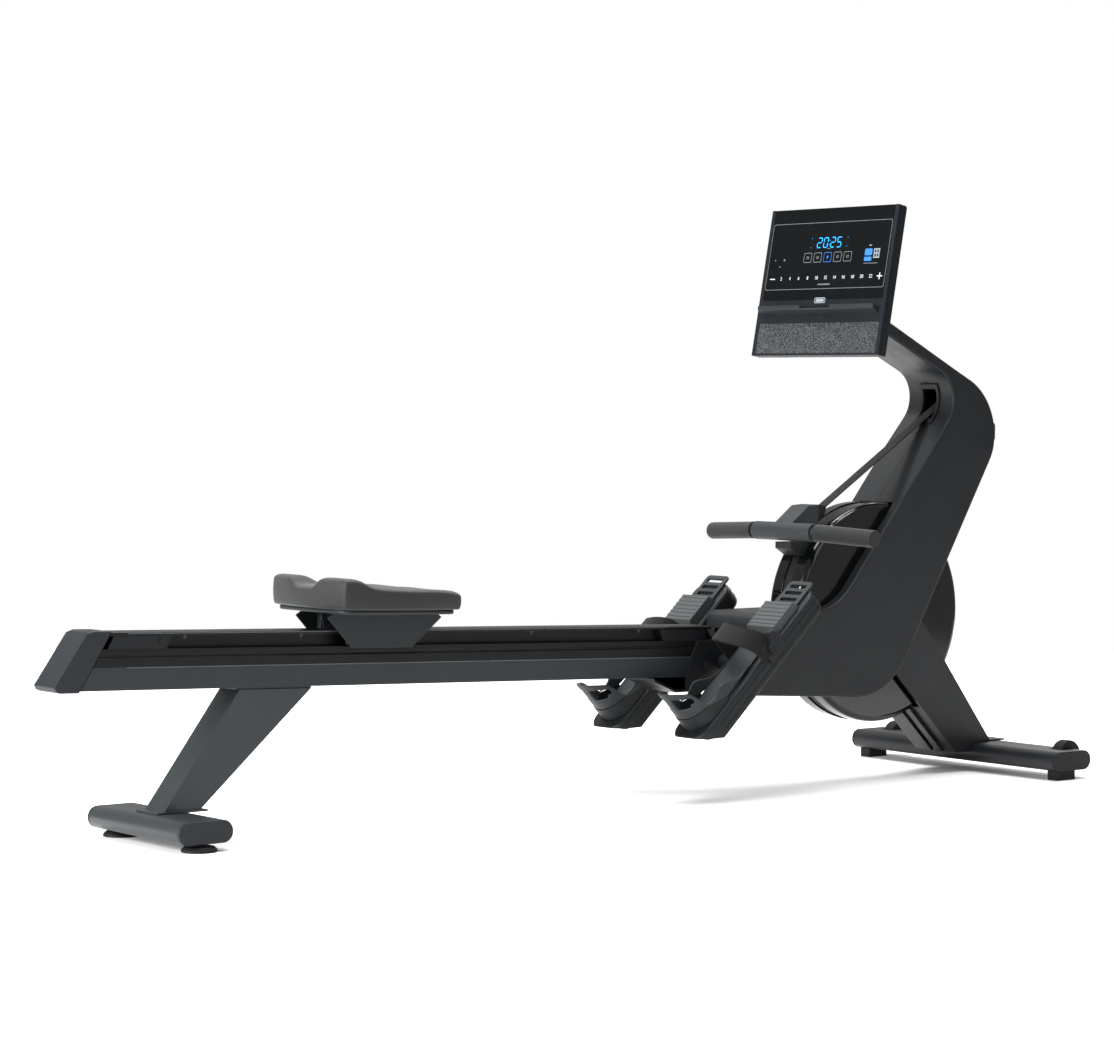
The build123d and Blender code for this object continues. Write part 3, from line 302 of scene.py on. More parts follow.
@dataclass(frozen=True)
class Heather:
    """Speaker cloth woven from dark and pale yarns, which gives a salt-and-pepper speckle.

    yarn_mm is the yarn's spacing, drawn about twice as coarse as real so that it shows.
    """

    name: str
    dark: str
    pale: str
    yarn_mm: float = 2.2

    def make(self) -> bpy.types.Material:
        """Build the material's nodes and return it."""
        material, tree, shader = blank_material(self.name)
        spot = add_node(tree, "ShaderNodeTexCoord").outputs["Object"]
        cells = {"Vector": spot, "Scale": per_metre(self.yarn_mm), "Randomness": 0.7}
        yarn = add_node(tree, "ShaderNodeTexVoronoi", cells)
        fleck = add_node(tree, "ShaderNodeTexWhiteNoise", {"Vector": yarn.outputs["Position"]})
        # just over a third of the yarns are fully dark
        spread = {
            "Value": fleck.outputs["Value"], "From Min": 0.35, "From Max": 1.0, "To Min": 0.0, "To Max": 1.0,
        }
        level = add_node(tree, "ShaderNodeMapRange", spread).outputs[0]
        tree.links.new(colour_mix(tree, level, self.dark, self.pale), shader.inputs["Base Color"])
        height = yarn.outputs["Distance"]
        bump = add_node(tree, "ShaderNodeBump", {"Strength": 0.6, "Distance": 0.5 * MM, "Height": height})
        tree.links.new(bump.outputs[0], shader.inputs["Normal"])
        set_inputs(shader, {"Roughness": 0.9, "Specular IOR Level": 0.2, "Sheen Weight": 0.1})
        return material


@dataclass(frozen=True)
class Lit:
    """A printed or lit mark: a colour that may also glow."""

    name: str
    colour: str
    glow: float = 0.0
    roughness: float = 0.4

    def make(self) -> bpy.types.Material:
        """Build the material's nodes and return it."""
        material, tree, shader = blank_material(self.name)
        spot = add_node(tree, "ShaderNodeTexCoord").outputs["Object"]
        ink = noise(tree, spot, 0.8, 2.0)
        bump = add_node(tree, "ShaderNodeBump", {"Strength": 0.05, "Distance": 0.1 * MM, "Height": ink})
        tree.links.new(bump.outputs[0], shader.inputs["Normal"])
        colour = linear(self.colour)
        set_inputs(shader, {"Base Color": colour, "Roughness": self.roughness})
        set_inputs(shader, {"Emission Color": colour, "Emission Strength": self.glow})
        return material


class Finish(Enum):
    """The machine's finishes, each made once and shared by its pieces."""

    # satin powder coat: a slight orange peel and a soft, even shine
    FRAME_PAINT = Surface("powder_coat_black", "#111315", "#15171a", 0.40, 0.05, 0.0, 1.6, 0.10, specular=0.3)
    GREY_PAINT = Surface("metallic_charcoal_paint", "#282c2f", "#2d3133", 0.36, 0.05, 0.2, 1.4, 0.08,
                         specular=0.35)
    BEAM_PAINT = Surface("rail_beam_paint", "#202427", "#25292c", 0.38, 0.05, 0.15, 1.6, 0.08, specular=0.3)
    # black anodised aluminium: drawn lines run along the extrusion and catch light as fine streaks
    TRACK = Surface("anodised_aluminium_black", "#0b0c0d", "#0f1011", 0.36, 0.06, 0.3, 0.6, 0.10,
                    specular=0.25, stretch=(0.03, 1.0, 1.0))
    # lighter strips along the rail's top edges: a painted highlight where light catches them, not a finish of
    # their own
    BRIGHT_EDGE = Surface("painted_highlight_edge", "#4a4f52", "#565b5e", 0.30, 0.05, 0.6, 0.6, 0.06,
                          stretch=(0.03, 1.0, 1.0))
    # moulded ABS with a spark-eroded grain: broad soft highlights, a blue-grey cast
    TOWER = Surface("moulded_abs_charcoal", "#0e1113", "#111316", 0.46, 0.05, 0.0, 0.9, 0.16, specular=0.28)
    CAP = Surface("moulded_abs_cap", "#1b1e21", "#202326", 0.50, 0.05, 0.0, 0.9, 0.16)
    # polished ABS: a clear, mirror-like skin over a near-black body
    HOUSING = Surface("polished_abs_black", "#020404", "#040505", 0.12, 0.03, 0.0, 2.5, 0.02, specular=0.5)
    DARK_TRIM = Surface("moulded_abs_black", "#0d0f11", "#111315", 0.52, 0.06, 0.0, 0.8, 0.18)
    PEDAL_BASE = Surface("moulded_nylon_base", "#111315", "#15181a", 0.50, 0.06, 0.0, 0.8, 0.18)
    PEDAL_GREY = Surface("moulded_nylon_heel_cup", "#242628", "#282b2d", 0.48, 0.06, 0.0, 0.8, 0.14)
    PEDAL_COVER = Surface("moulded_nylon_cover", "#3a3c3d", "#404243", 0.46, 0.06, 0.0, 0.8, 0.14)
    RUBBER = Surface("moulded_rubber", "#0a0b0c", "#0e0f10", 0.66, 0.08, 0.0, 0.7, 0.25)
    BELT = Surface("ribbed_belt_rubber", "#090a0b", "#0d0e0f", 0.60, 0.08, 0.0, 0.7, 0.3)
    # turned or drawn steel: a grey metal with fine lines around its axis
    STEEL = Surface("turned_steel", "#8d9093", "#9da0a3", 0.30, 0.08, 1.0, 0.5, 0.10, specular=0.5,
                    stretch=(1.0, 0.05, 1.0))
    SCREW = Surface("blackened_steel", "#3c3f42", "#46494c", 0.35, 0.06, 0.9, 0.5, 0.10, specular=0.5)
    CAST = Surface("cast_iron_turned", "#3a3c3e", "#46484a", 0.45, 0.10, 0.9, 1.2, 0.3, specular=0.5)
    # foam rubber grip: tiny closed pores and no clear highlight
    GRIP = Surface("foam_rubber_grip", "#121314", "#171819", 0.80, 0.05, 0.0, 1.4, 0.7, sheen=0.12)
    SLEEVE = Surface("moulded_abs_sleeve", "#222426", "#26292b", 0.50, 0.05, 0.0, 0.8, 0.14)
    # moulded urethane foam skin: soft, slightly velvety, with a pale sheen on its crown
    SEAT = Surface("moulded_urethane_skin", "#1c1d1e", "#212223", 0.58, 0.06, 0.0, 1.4, 0.4, sheen=0.12)
    SKIRT = Surface("moulded_abs_skirt", "#1d2022", "#222527", 0.50, 0.05, 0.0, 0.9, 0.14)
    CONSOLE_SHELL = Surface("moulded_abs_console", "#101418", "#14181c", 0.45, 0.05, 0.0, 0.8, 0.14,
                            specular=0.15)
    # polycarbonate film printed on its back: an even satin skin
    OVERLAY = Surface("printed_film", "#050708", "#06080a", 0.36, 0.03, 0.0, 3.0, 0.02, specular=0.10)
    WINDOW = Surface("tinted_acrylic", "#020303", "#030405", 0.08, 0.01, 0.0, 5.0, 0.01, specular=0.35)
    BOARD = Surface("circuit_board", "#1d3a28", "#234531", 0.4, 0.05)
    STRAP = Webbing("nylon_webbing_drive", "#030303", "#0a0b0c")
    FOOT_STRAP = Webbing("nylon_webbing_foot", "#040405", "#0c0d0d", 2.4, (0.0, 0.0, math.radians(90)))
    CLOTH = Heather("heather_speaker_cloth", "#131415", "#4c4e50", 1.5)
    LINE = Lit("printed_line_grey", "#5c6266")
    MARK = Lit("printed_mark_pale", "#b9bdc0")
    TILE = Lit("printed_tile_grey", "#7f868a")
    # a printed tile that glows faintly: painted light, since print gives none
    BLUE_TILE = Lit("printed_tile_blue_painted_glow", "#2468b2", 0.12)
    DIGIT = Lit("led_digit_cyan", "#1690d8", 1.5)
    KEY_LIT = Lit("led_key_blue", "#1c4f96", 0.35)

    def material(self) -> bpy.types.Material:
        """Return this finish's material, made on first use."""
        found = bpy.data.materials.get(self.value.name)
        return found or self.value.make()


# ---------------------------------------------------------------- mesh work
EVEN = "even_normals"


def even_normals(piece: bpy.types.Object) -> None:
    """Shade flat faces flat and roundings smoothly."""
    even = piece.modifiers.new(EVEN, "WEIGHTED_NORMAL")
    even.keep_sharp = True


def new_piece(name: str, shape: BMesh, finish: Finish, smooth_angle: float = 32.0) -> bpy.types.Object:
    """Turn a finished bmesh into a shown piece at the origin.

    Args:
        name: the piece's name.
        shape: the mesh, which is freed.
        finish: what it is made of.
        smooth_angle: edges sharper than this, in degrees, stay crisp.

    Returns:
        The new object.
    """
    mesh = bpy.data.meshes.new(name)
    shape.to_mesh(mesh)
    shape.free()
    mesh.shade_smooth()
    mesh.set_sharp_from_angle(angle=math.radians(smooth_angle))
    mesh.materials.append(finish.material())
    piece = bpy.data.objects.new(name, mesh)
    bpy.context.scene.collection.objects.link(piece)
    even_normals(piece)
    return piece


def finer_mesh(piece: bpy.types.Object) -> None:
    """Smooth a piece's mesh by one level of subdivision."""
    finer = piece.modifiers.new("finer", "SUBSURF")
    finer.levels = 1
    finer.render_levels = 1


def sharp_edges(shape: BMesh, angle: float) -> list[bmesh.types.BMEdge]:
    """Return the edges between two faces that turn by at least angle degrees."""
    least = math.radians(angle)
    return [edge for edge in shape.edges if len(edge.link_faces) == 2 and edge.calc_face_angle(0.0) >= least]


def ease(shape: BMesh, edges: Iterable, width: float, segments: int = 2) -> None:
    """Round edges to a width in millimetres."""
    chosen = list(edges)
    if chosen:
        bmesh.ops.bevel(
            shape,
            geom=chosen,
            offset=width * MM,
            offset_type="OFFSET",
            affect="EDGES",
            segments=segments,
            profile=0.5,
            material=-1,
            clamp_overlap=True,
        )


def node_copy(node: str) -> BMesh:
    """Return a merged copy of a CAD node's mesh, with its flat triangles joined."""
    shape = bmesh.new()
    shape.from_mesh(frame["nodes"][node].data)
    bmesh.ops.remove_doubles(shape, verts=shape.verts, dist=2e-6)
    bmesh.ops.dissolve_limit(
        shape, angle_limit=math.radians(0.4), use_dissolve_boundaries=False,
        verts=shape.verts, edges=shape.edges,
    )
    return shape


def eased_node(
    node: str, finish: Finish, width: float = 1.0, segments: int = 2, angle: float = 40.0
) -> bpy.types.Object:
    """Stand for a CAD node with a copy whose edges are eased, as moulding and painting leave them.

    Args:
        node: the CAD node, which the piece replaces and rides with.
        finish: what it is made of.
        width: the rounding in millimetres.
        segments: steps in the rounding.
        angle: edges that turn by more than this are eased.

    Returns:
        The piece, named after the node.
    """
    shape = node_copy(node)
    ease(shape, sharp_edges(shape, angle), width, segments)
    piece = new_piece(f"{node}_skin", shape, finish)
    return settle(piece, frame["nodes"][node]["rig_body"], node)


def settle(piece: bpy.types.Object, body: str, *replaced: str) -> bpy.types.Object:
    """Make a piece ride on a body, and stand for CAD nodes."""
    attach(piece, body)
    if replaced:
        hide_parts(*replaced)
    LOG.info("%s rides on %s", piece.name, body)
    return piece


def dress_node(node: str, finish: Finish) -> None:
    """Give a CAD node that stays its finish."""
    item = frame["nodes"][node]
    item.data.materials.clear()
    item.data.materials.append(finish.material())
    LOG.info("%s keeps its CAD shape", node)


def rounded_outline(points: Corners, steps: int = 10) -> list[tuple[float, float]]:
    """Round the corners of a closed outline.

    Args:
        points: corners as (x, y, radius).
        steps: points on each rounding.

    Returns:
        The outline's points in order.
    """
    outline = []
    count = len(points)
    for index, (x, y, radius) in enumerate(points):
        here = Vector((x, y))
        back = (Vector(points[index - 1][:2]) - here).normalized()
        ahead = (Vector(points[(index + 1) % count][:2]) - here).normalized()
        if radius <= 0:
            outline.append((x, y))
            continue
        half = back.angle(ahead) / 2
        reach = radius / math.tan(half)
        centre = here + (back + ahead).normalized() * (radius / math.sin(half))
        first = here + back * reach - centre
        last = here + ahead * reach - centre
        sweep = first.angle_signed(last)
        for step in range(steps + 1):
            turn = -sweep * step / steps
            outline.append(
                (
                    centre.x + first.x * math.cos(turn) - first.y * math.sin(turn),
                    centre.y + first.x * math.sin(turn) + first.y * math.cos(turn),
                )
            )
    return outline


def prism(outline: Outline, low: float, high: float, place: Matrix) -> BMesh:
    """Fill an outline and thicken it.

    Args:
        outline: points in millimetres on the place's X and Y.
        low: where the solid starts along the place's Z, in millimetres.
        high: where it ends.
        place: where the outline lies.

    Returns:
        A closed mesh.
    """
    shape = bmesh.new()
    face = shape.faces.new([shape.verts.new((x * MM, y * MM, low * MM)) for x, y in outline])
    grown = bmesh.ops.extrude_face_region(shape, geom=[face])
    top = [item for item in grown["geom"] if isinstance(item, bmesh.types.BMVert)]
    bmesh.ops.translate(shape, verts=top, vec=(0.0, 0.0, (high - low) * MM))
    bmesh.ops.recalc_face_normals(shape, faces=shape.faces)
    bmesh.ops.transform(shape, matrix=place, verts=shape.verts)
    return shape


def side_place(place: Place) -> Matrix:
    """Return the matrix that stands an outline on a side plane, its thickness towards the left."""
    turn = place.matrix() @ Matrix.Rotation(math.radians(90), 4, "X")
    return turn @ Matrix.Scale(-1, 4, (0, 0, 1))


def side_prism(outline: Outline, low: float, high: float, place: Place = SIDE) -> BMesh:
    """Fill an outline on a side plane from Y = low to Y = high, in millimetres."""
    shape = prism(outline, low, high, side_place(place))
    bmesh.ops.recalc_face_normals(shape, faces=shape.faces)
    return shape


def rounded_rectangle(width: float, tall: float, radius: float, steps: int = 6) -> list[tuple[float, float]]:
    """Return the outline of a rounded rectangle about the origin, in millimetres."""
    across, up = width / 2, tall / 2
    corners = [(-across, -up, radius), (across, -up, radius), (across, up, radius), (-across, up, radius)]
    return rounded_outline(corners, steps)


def lathe(profile: Outline, place: Matrix, steps: int = 48) -> BMesh:
    """Spin a profile of (radius, height) in millimetres about the place's Z."""
    shape = bmesh.new()
    points = [shape.verts.new((radius * MM, 0.0, height * MM)) for radius, height in profile]
    edges = [shape.edges.new(pair) for pair in zip(points, points[1:])]
    bmesh.ops.spin(
        shape,
        geom=points + edges,
        cent=(0, 0, 0),
        axis=(0, 0, 1),
        angle=math.tau,
        steps=steps,
        use_merge=True,
        use_duplicate=False,
    )
    bmesh.ops.remove_doubles(shape, verts=shape.verts, dist=1e-6)
    bmesh.ops.recalc_face_normals(shape, faces=shape.faces)
    bmesh.ops.transform(shape, matrix=place, verts=shape.verts)
    return shape


def joined(shapes: Iterable[BMesh]) -> BMesh:
    """Gather several meshes into one, and free them."""
    whole = bmesh.new()
    for shape in shapes:
        mesh = bpy.data.meshes.new("gathered")
        shape.to_mesh(mesh)
        shape.free()
        whole.from_mesh(mesh)
        bpy.data.meshes.remove(mesh)
    return whole


def across_place(point: Vector, hand: int) -> Matrix:
    """Return the frame at a point whose Z points out to one side of the machine."""
    place = Matrix.Rotation(math.radians(-90 * hand), 4, "X")
    place.translation = point
    return place


def socket_screw(place: Matrix, radius: float = 4.0, proud: float = 1.6) -> BMesh:
    """Return a cap screw's head with its hollow, standing on the place."""
    profile = [
        (0.0, proud * 0.2), (radius * 0.45, proud * 0.2), (radius * 0.5, proud * 0.9),
        (radius * 0.85, proud), (radius, proud * 0.7), (radius, -0.6), (0.0, -0.6),
    ]
    return lathe(profile, place, 24)


def cut(piece: bpy.types.Object, cutters: Iterable[BMesh]) -> None:
    """Cut shapes out of a piece's mesh for good."""
    placed = []
    for shape in cutters:
        mesh = bpy.data.meshes.new("cutter")
        shape.to_mesh(mesh)
        shape.free()
        cutter = bpy.data.objects.new("cutter", mesh)
        bpy.context.scene.collection.objects.link(cutter)
        step = piece.modifiers.new("cut", "BOOLEAN")
        step.operation = "DIFFERENCE"
        step.solver = "EXACT"
        step.object = cutter
        placed.append(cutter)
    piece.modifiers.remove(piece.modifiers[EVEN])
    bpy.context.view_layer.update()
    result = bpy.data.meshes.new_from_object(piece.evaluated_get(bpy.context.evaluated_depsgraph_get()))
    piece.modifiers.clear()
    piece.data = result
    for cutter in placed:
        bpy.data.objects.remove(cutter)
    even_normals(piece)


# ---------------------------------------------------------------- sub-assemblies
@dataclass
class RearSupport:
    """The rear leg, its floor bar with end caps, and the two levelling feet."""

    def build(self) -> None:
        """Stand for the leg, bar, caps and feet."""
        eased_node("rear_leg", Finish.GREY_PAINT, 2.0)
        eased_node("rear_bar", Finish.GREY_PAINT, 1.0)
        eased_node("rear_bar_caps", Finish.CAP, 1.2)
        for name in SIDES:
            eased_node(f"levelling_foot_{name}", Finish.RUBBER, 0.8)


@dataclass
class Rail:
    """The seat rail: dark track over a painted beam, with its end cap and stops."""

    half: float = 32.5
    rear: float = -80.0
    front: float = 1195.0
    lock_clear: float = 1040.0

    def build(self) -> None:
        """Stand for the rail's pieces and add the running strips and screws."""
        eased_node("rail_track", Finish.TRACK, 0.8)
        eased_node("rail_beam", Finish.BEAM_PAINT, 1.2)
        eased_node("rail_end_cap", Finish.CAP, 6.0, 4, 60.0)
        eased_node("rail_stop_blocks", Finish.DARK_TRIM, 0.8)
        self.strips()
        self.screws()

    def strips(self) -> None:
        """Lay thin lighter strips along the top of the track and of the beam: a painted highlight where their
        edges catch the light.
        """
        shapes = []
        for hand in SIDES.values():
            low, high = sorted((hand * (self.half + 0.1), hand * (self.half + 0.5)))
            # on the left the lower line stops short of the fold lock's pin
            for above, end in ((-1.6, self.front), (-57.8, self.front if hand < 0 else self.lock_clear)):
                below, over = above - 0.9, above + 0.9
                line = [(self.rear, below), (end, below), (end, over), (self.rear, over)]
                shapes.append(side_prism(line, low, high, RAIL))
        piece = new_piece("rail_painted_highlight_edges", joined(shapes), Finish.BRIGHT_EDGE)
        settle(piece, "rail")

    def screws(self) -> None:
        """Set the small countersunk screws under the track's lip."""
        shapes = []
        for hand in SIDES.values():
            for along in (30, 262, 760, 1010):
                spot = RAIL.at(along, -8, hand * (self.half - 0.2))
                shapes.append(socket_screw(across_place(spot, hand), 3.2, 0.9))
        piece = new_piece("rail_screws", joined(shapes), Finish.SCREW)
        settle(piece, "rail")


@dataclass
class Seat:
    """The moulded foam seat on its pan, carriage and rollers."""

    station: float = 420.0
    length: float = 276.0
    half: float = 125.0
    base: float = 38.0
    side: float = 37.0
    dish: float = 7.0
    horn: float = 13.0
    notch_drop: float = 3.0
    rear_rise: float = 4.0
    nose_drop: float = 9.0
    edge_drop: float = 5.0
    squareness: float = 0.20
    cuts: int = 46

    def build(self) -> None:
        """Build the pad, and stand for the rest."""
        self.pad()
        eased_node("seat_pan", Finish.SKIRT, 3.0, 3)
        eased_node("seat_skirts", Finish.SKIRT, 2.0)
        dress_node("seat_carriage", Finish.STEEL)
        dress_node("seat_rollers_rear", Finish.RUBBER)
        dress_node("seat_rollers_front", Finish.RUBBER)

    def crown(self, along: float, across: float) -> float:
        """Return the height of the pad's top, in millimetres above its base.

        Args:
            along: from -1 at the rear edge to 1 at the front.
            across: from -1 to 1.
        """
        lengthwise = math.exp(-(((along - 0.05) / 0.6) ** 4))
        crosswise = math.exp(-(((abs(across) - 0.42) / 0.36) ** 2))
        dish = self.dish * lengthwise * crosswise
        rise = 1 / (1 + math.exp((along + 0.60) / 0.05))
        slope = self.rear_rise / (1 + math.exp((along + 0.25) / 0.15))
        notch = math.exp(-((across / 0.30) ** 6))
        horn = self.horn * rise * (1 - notch) - self.notch_drop * rise * notch
        nose = self.nose_drop * max(0.0, (along - 0.35) / 0.65) ** 2
        return self.side - dish + horn + slope - nose

    def pad(self) -> None:
        """Shape the foam pad: dished, with two horns and a notch at the rear and a rolled edge."""
        shape = bmesh.new()
        bmesh.ops.create_grid(shape, x_segments=self.cuts, y_segments=self.cuts, size=1.0)
        top = set(shape.verts)
        grown = bmesh.ops.extrude_face_region(shape, geom=list(shape.faces))
        walls = [item for item in grown["geom"] if isinstance(item, bmesh.types.BMVert)]
        lower = set(walls)
        rows = [edge for edge in shape.edges if (edge.verts[0] in lower) != (edge.verts[1] in lower)]
        for vertex in walls:
            vertex.co.z = 1.0
        for vertex in top - lower:
            vertex.co.z = 0.0
        bmesh.ops.subdivide_edges(shape, edges=rows, cuts=7, use_grid_fill=True)
        for vertex in shape.verts:
            self.place_vertex(vertex)
        bmesh.ops.recalc_face_normals(shape, faces=shape.faces)
        for _ in range(2):
            bmesh.ops.smooth_vert(
                shape, verts=shape.verts, factor=0.3, use_axis_x=True, use_axis_y=True, use_axis_z=True
            )
        piece = new_piece("seat_cushion", shape, Finish.SEAT, 180.0)
        piece.modifiers.clear()
        finer_mesh(piece)
        settle(piece, "seat", "seat_pad")

    def place_vertex(self, vertex: bmesh.types.BMVert) -> None:
        """Move one vertex of the unit pad to its place on the seat."""
        a, b, level = vertex.co
        tight = self.squareness
        along = a * math.sqrt(1 - tight * b * b)
        across = b * math.sqrt(1 - tight * a * a)
        edge = max(abs(a), abs(b))
        roll = max(0.0, (edge - 0.88) / 0.12)
        top = self.crown(along, across) - self.edge_drop * roll * roll
        # the wall draws in a little towards its base and its top
        tuck = 1.0 - 0.02 * (1 - level) ** 3 - 0.01 * level**3
        above = self.base + top * level
        x = self.station + along * (self.length / 2) * tuck
        vertex.co = RAIL.at(x, above, across * self.half * tuck)


@dataclass
class FrontSupport:
    """The front leg, its floor bar with caps, rubber feet and transport wheels."""

    def build(self) -> None:
        """Stand for the leg, bar, caps, feet and wheels."""
        eased_node("front_leg", Finish.FRAME_PAINT, 1.6)
        eased_node("front_bar", Finish.FRAME_PAINT, 1.0)
        eased_node("front_bar_caps", Finish.DARK_TRIM, 1.2)
        eased_node("front_feet", Finish.RUBBER, 1.0)
        for name in SIDES:
            eased_node(f"transport_wheel_{name}", Finish.RUBBER, 2.0, 3)


@dataclass
class Tower:
    """The moulded shells over the drive, with the strap's port and the bumper."""

    half: float = 70.0
    arm_half: float = 60.0
    taper: tuple[float, float] = (640.0, 800.0)
    edge_round: float = 11.0
    seam_round: float = 1.2
    arm_screw: tuple[float, float] = (1648.0, 868.5)
    slack: float = 0.6

    def build(self) -> None:
        """Build the shells' skins and screws, and stand for the port and bumper."""
        for name, hand in SIDES.items():
            self.shell(name, hand)
        eased_node("strap_port_bezel", Finish.DARK_TRIM, 1.0)
        eased_node("knee_bumper", Finish.DARK_TRIM, 4.0, 3)
        screws = []
        for hand in SIDES.values():
            spot = SIDE.at(*self.arm_screw, hand * (self.arm_half + 0.2))
            screws.append(socket_screw(across_place(spot, hand), 4.4, 0.5))
        settle(new_piece("tower_screws", joined(screws), Finish.DARK_TRIM), "frame")

    def half_at(self, height: float) -> float:
        """Return half the tower's width at a height, in millimetres."""
        low, high = self.taper
        share = min(1.0, max(0.0, (height - low) / (high - low)))
        return self.half + (self.arm_half - self.half) * share

    def shell(self, name: str, hand: int) -> None:
        """Round one shell's outer edge widely, and ease its seam.

        Args:
            name: which side it is on.
            hand: the side's sign.
        """
        shape = node_copy(f"tower_shell_{name}")
        rim, seam = [], []
        for edge in sharp_edges(shape, 40.0):
            ends = [(hand * vertex.co.y / MM, vertex.co.z / MM) for vertex in edge.verts]
            if all(abs(out - self.half_at(height)) < self.slack for out, height in ends):
                rim.append(edge)
            elif all(out < self.slack for out, _ in ends):
                seam.append(edge)
        ease(shape, seam, self.seam_round, 1)
        ease(shape, [edge for edge in rim if edge.is_valid], self.edge_round, 5)
        piece = new_piece(f"tower_skin_{name}", shape, Finish.TOWER)
        settle(piece, "frame", f"tower_shell_{name}")


@dataclass
class Flywheel:
    """The flywheel under its gloss covers, and the drive behind it."""

    def build(self) -> None:
        """Stand for the covers, and dress the drive."""
        for name in SIDES:
            eased_node(f"flywheel_housing_{name}", Finish.HOUSING, 1.0)
        eased_node("flywheel_housing_band", Finish.DARK_TRIM, 0.6)
        turned = ("flywheel_shaft", "drive_pulley", "strap_drum", "strap_guide_roller")
        for node in (*turned, "brake_arm", "shaft_bearings", "resistance_motor"):
            dress_node(node, Finish.STEEL)
        dress_node("flywheel", Finish.CAST)
        dress_node("drive_belt", Finish.BELT)
        dress_node("main_frame", Finish.FRAME_PAINT)
        dress_node("fold_lock_knob", Finish.DARK_TRIM)


@dataclass
class Pedals:
    """The footrests: bases, heel cups, covers, straps and buckles."""

    offset: float = 118.5
    half: float = 46.5
    base_top: float = 42.4
    plate_top: float = 47.0
    cup_radius: float = 38.0
    cup_arm: float = 120.0
    cup_wall: float = 3.2
    cup_dip: float = 8.0
    block_top: float = 71.0
    block_end: float = 46.0
    block_end_top: float = 50.0
    cup_steps: int = 72
    strap_steps: int = 28
    strap_station: float = 164.0
    strap_half: float = 22.0
    strap_thick: float = 4.6

    def build(self) -> None:
        """Stand for the footrests' pieces."""
        eased_node("pedal_bases", Finish.PEDAL_BASE, 1.6, 2)
        eased_node("pedal_covers", Finish.PEDAL_COVER, 0.8)
        for name, hand in SIDES.items():
            self.plate(name, hand * self.offset)
            eased_node(f"buckle_cam_{name}", Finish.DARK_TRIM, 1.0)
            self.heel_cup(name, hand * self.offset)
            self.heel_block(name, hand * self.offset)
            self.grooves(name, hand * self.offset)
        self.straps()

    def plate(self, name: str, middle: float) -> None:
        """Build the sliding plate: a rounded tongue with three slots at its toe.

        Args:
            name: which side it is on.
            middle: its middle across the machine, in millimetres.
        """
        low, high = self.base_top, self.plate_top
        place = PEDAL.matrix(0.0, 0.0, middle)
        tongue = [(-38, -36, 34), (100, -31, 8), (344, -31, 8), (344, 31, 8), (100, 31, 8), (-38, 36, 34)]
        body = prism(rounded_outline(tongue), low, high, place)
        ease(body, sharp_edges(body, 60.0), 1.2)
        piece = new_piece(f"heel_slide_{name}", body, Finish.PEDAL_GREY)
        first, pitch, opening = 296, 17, rounded_rectangle(9.5, 44.0, 3.0)
        starts = [first + step * pitch for step in range(3)]
        slots = [prism([(x + start, y) for x, y in opening], low - 2, high + 2, place) for start in starts]
        cut(piece, slots)
        settle(piece, f"heel_{name}", f"heel_plate_{name}")

    def heel_cup(self, name: str, middle: float) -> None:
        """Build the heel cup's wall: high round the heel, dipping, then rising to a wing each side.

        Args:
            name: which side it is on.
            middle: its middle across the machine, in millimetres.
        """
        shape = bmesh.new()
        rows = []
        for step in range(self.cup_steps + 1):
            along, out, top = self.cup_point(step / self.cup_steps)
            foot = shape.verts.new(PEDAL.at(along, self.foot_at(along), middle + out))
            rows.append((foot, shape.verts.new(PEDAL.at(along * 1.04 - 1.0, top, middle + out * 1.04))))
        for one, two in zip(rows, rows[1:]):
            shape.faces.new((one[0], two[0], two[1], one[1]))
        uprights = {frozenset(row) for row in rows}
        walls = [edge for edge in shape.edges if frozenset(edge.verts) in uprights]
        bmesh.ops.subdivide_edges(shape, edges=walls, cuts=7)
        window = [f for f in shape.faces if self.in_window(f.calc_center_median(), middle)]
        bmesh.ops.delete(shape, geom=window, context="FACES")
        bmesh.ops.recalc_face_normals(shape, faces=shape.faces)
        piece = new_piece(f"heel_cup_{name}", shape, Finish.PEDAL_GREY, 180.0)
        piece.modifiers.clear()
        wall = piece.modifiers.new("wall", "SOLIDIFY")
        wall.thickness = self.cup_wall * MM
        wall.offset = 0.0
        finer_mesh(piece)
        settle(piece, f"heel_{name}")

    def foot_at(self, along: float) -> float:
        """Return how high the cup's wall starts, in millimetres."""
        share = min(1.0, max(0.0, (50.0 - along) / 50.0))
        return self.plate_top + (self.block_top - self.plate_top - 1.0) * share * share * (3 - 2 * share)

    def heel_block(self, name: str, middle: float) -> None:
        """Build the dark block that carries the heel cup.

        Args:
            name: which side it is on.
            middle: its middle across the machine, in millimetres.
        """
        outer, inner = self.cup_radius + 2.4, self.cup_radius - 4.0
        end = self.block_end
        half_outline = [(end, outer, 2), (end, inner, 2), (-inner, inner, inner - 1)]
        other_half = [(-inner, -inner, inner - 1), (end, -inner, 2), (end, -outer, 2)]
        round_heel = [(-outer, -outer, outer - 1), (-outer, outer, outer - 1)]
        outline = rounded_outline([*half_outline, *other_half, *round_heel])
        shape = prism(outline, self.base_top, self.block_top, PEDAL.matrix(0.0, 0.0, middle))
        origin = PEDAL.at(0.0, 0.0, middle)
        for vertex in shape.verts:
            along = PEDAL_ALONG.dot(vertex.co - origin) / MM
            above = PEDAL_ABOVE.dot(vertex.co - origin) / MM
            if along > end - 6.0 and above > self.block_end_top:
                vertex.co -= PEDAL_ABOVE * (self.block_top - self.block_end_top) * MM
        ease(shape, sharp_edges(shape, 50.0), 0.8)
        settle(new_piece(f"heel_block_{name}", shape, Finish.PEDAL_BASE), f"heel_{name}")

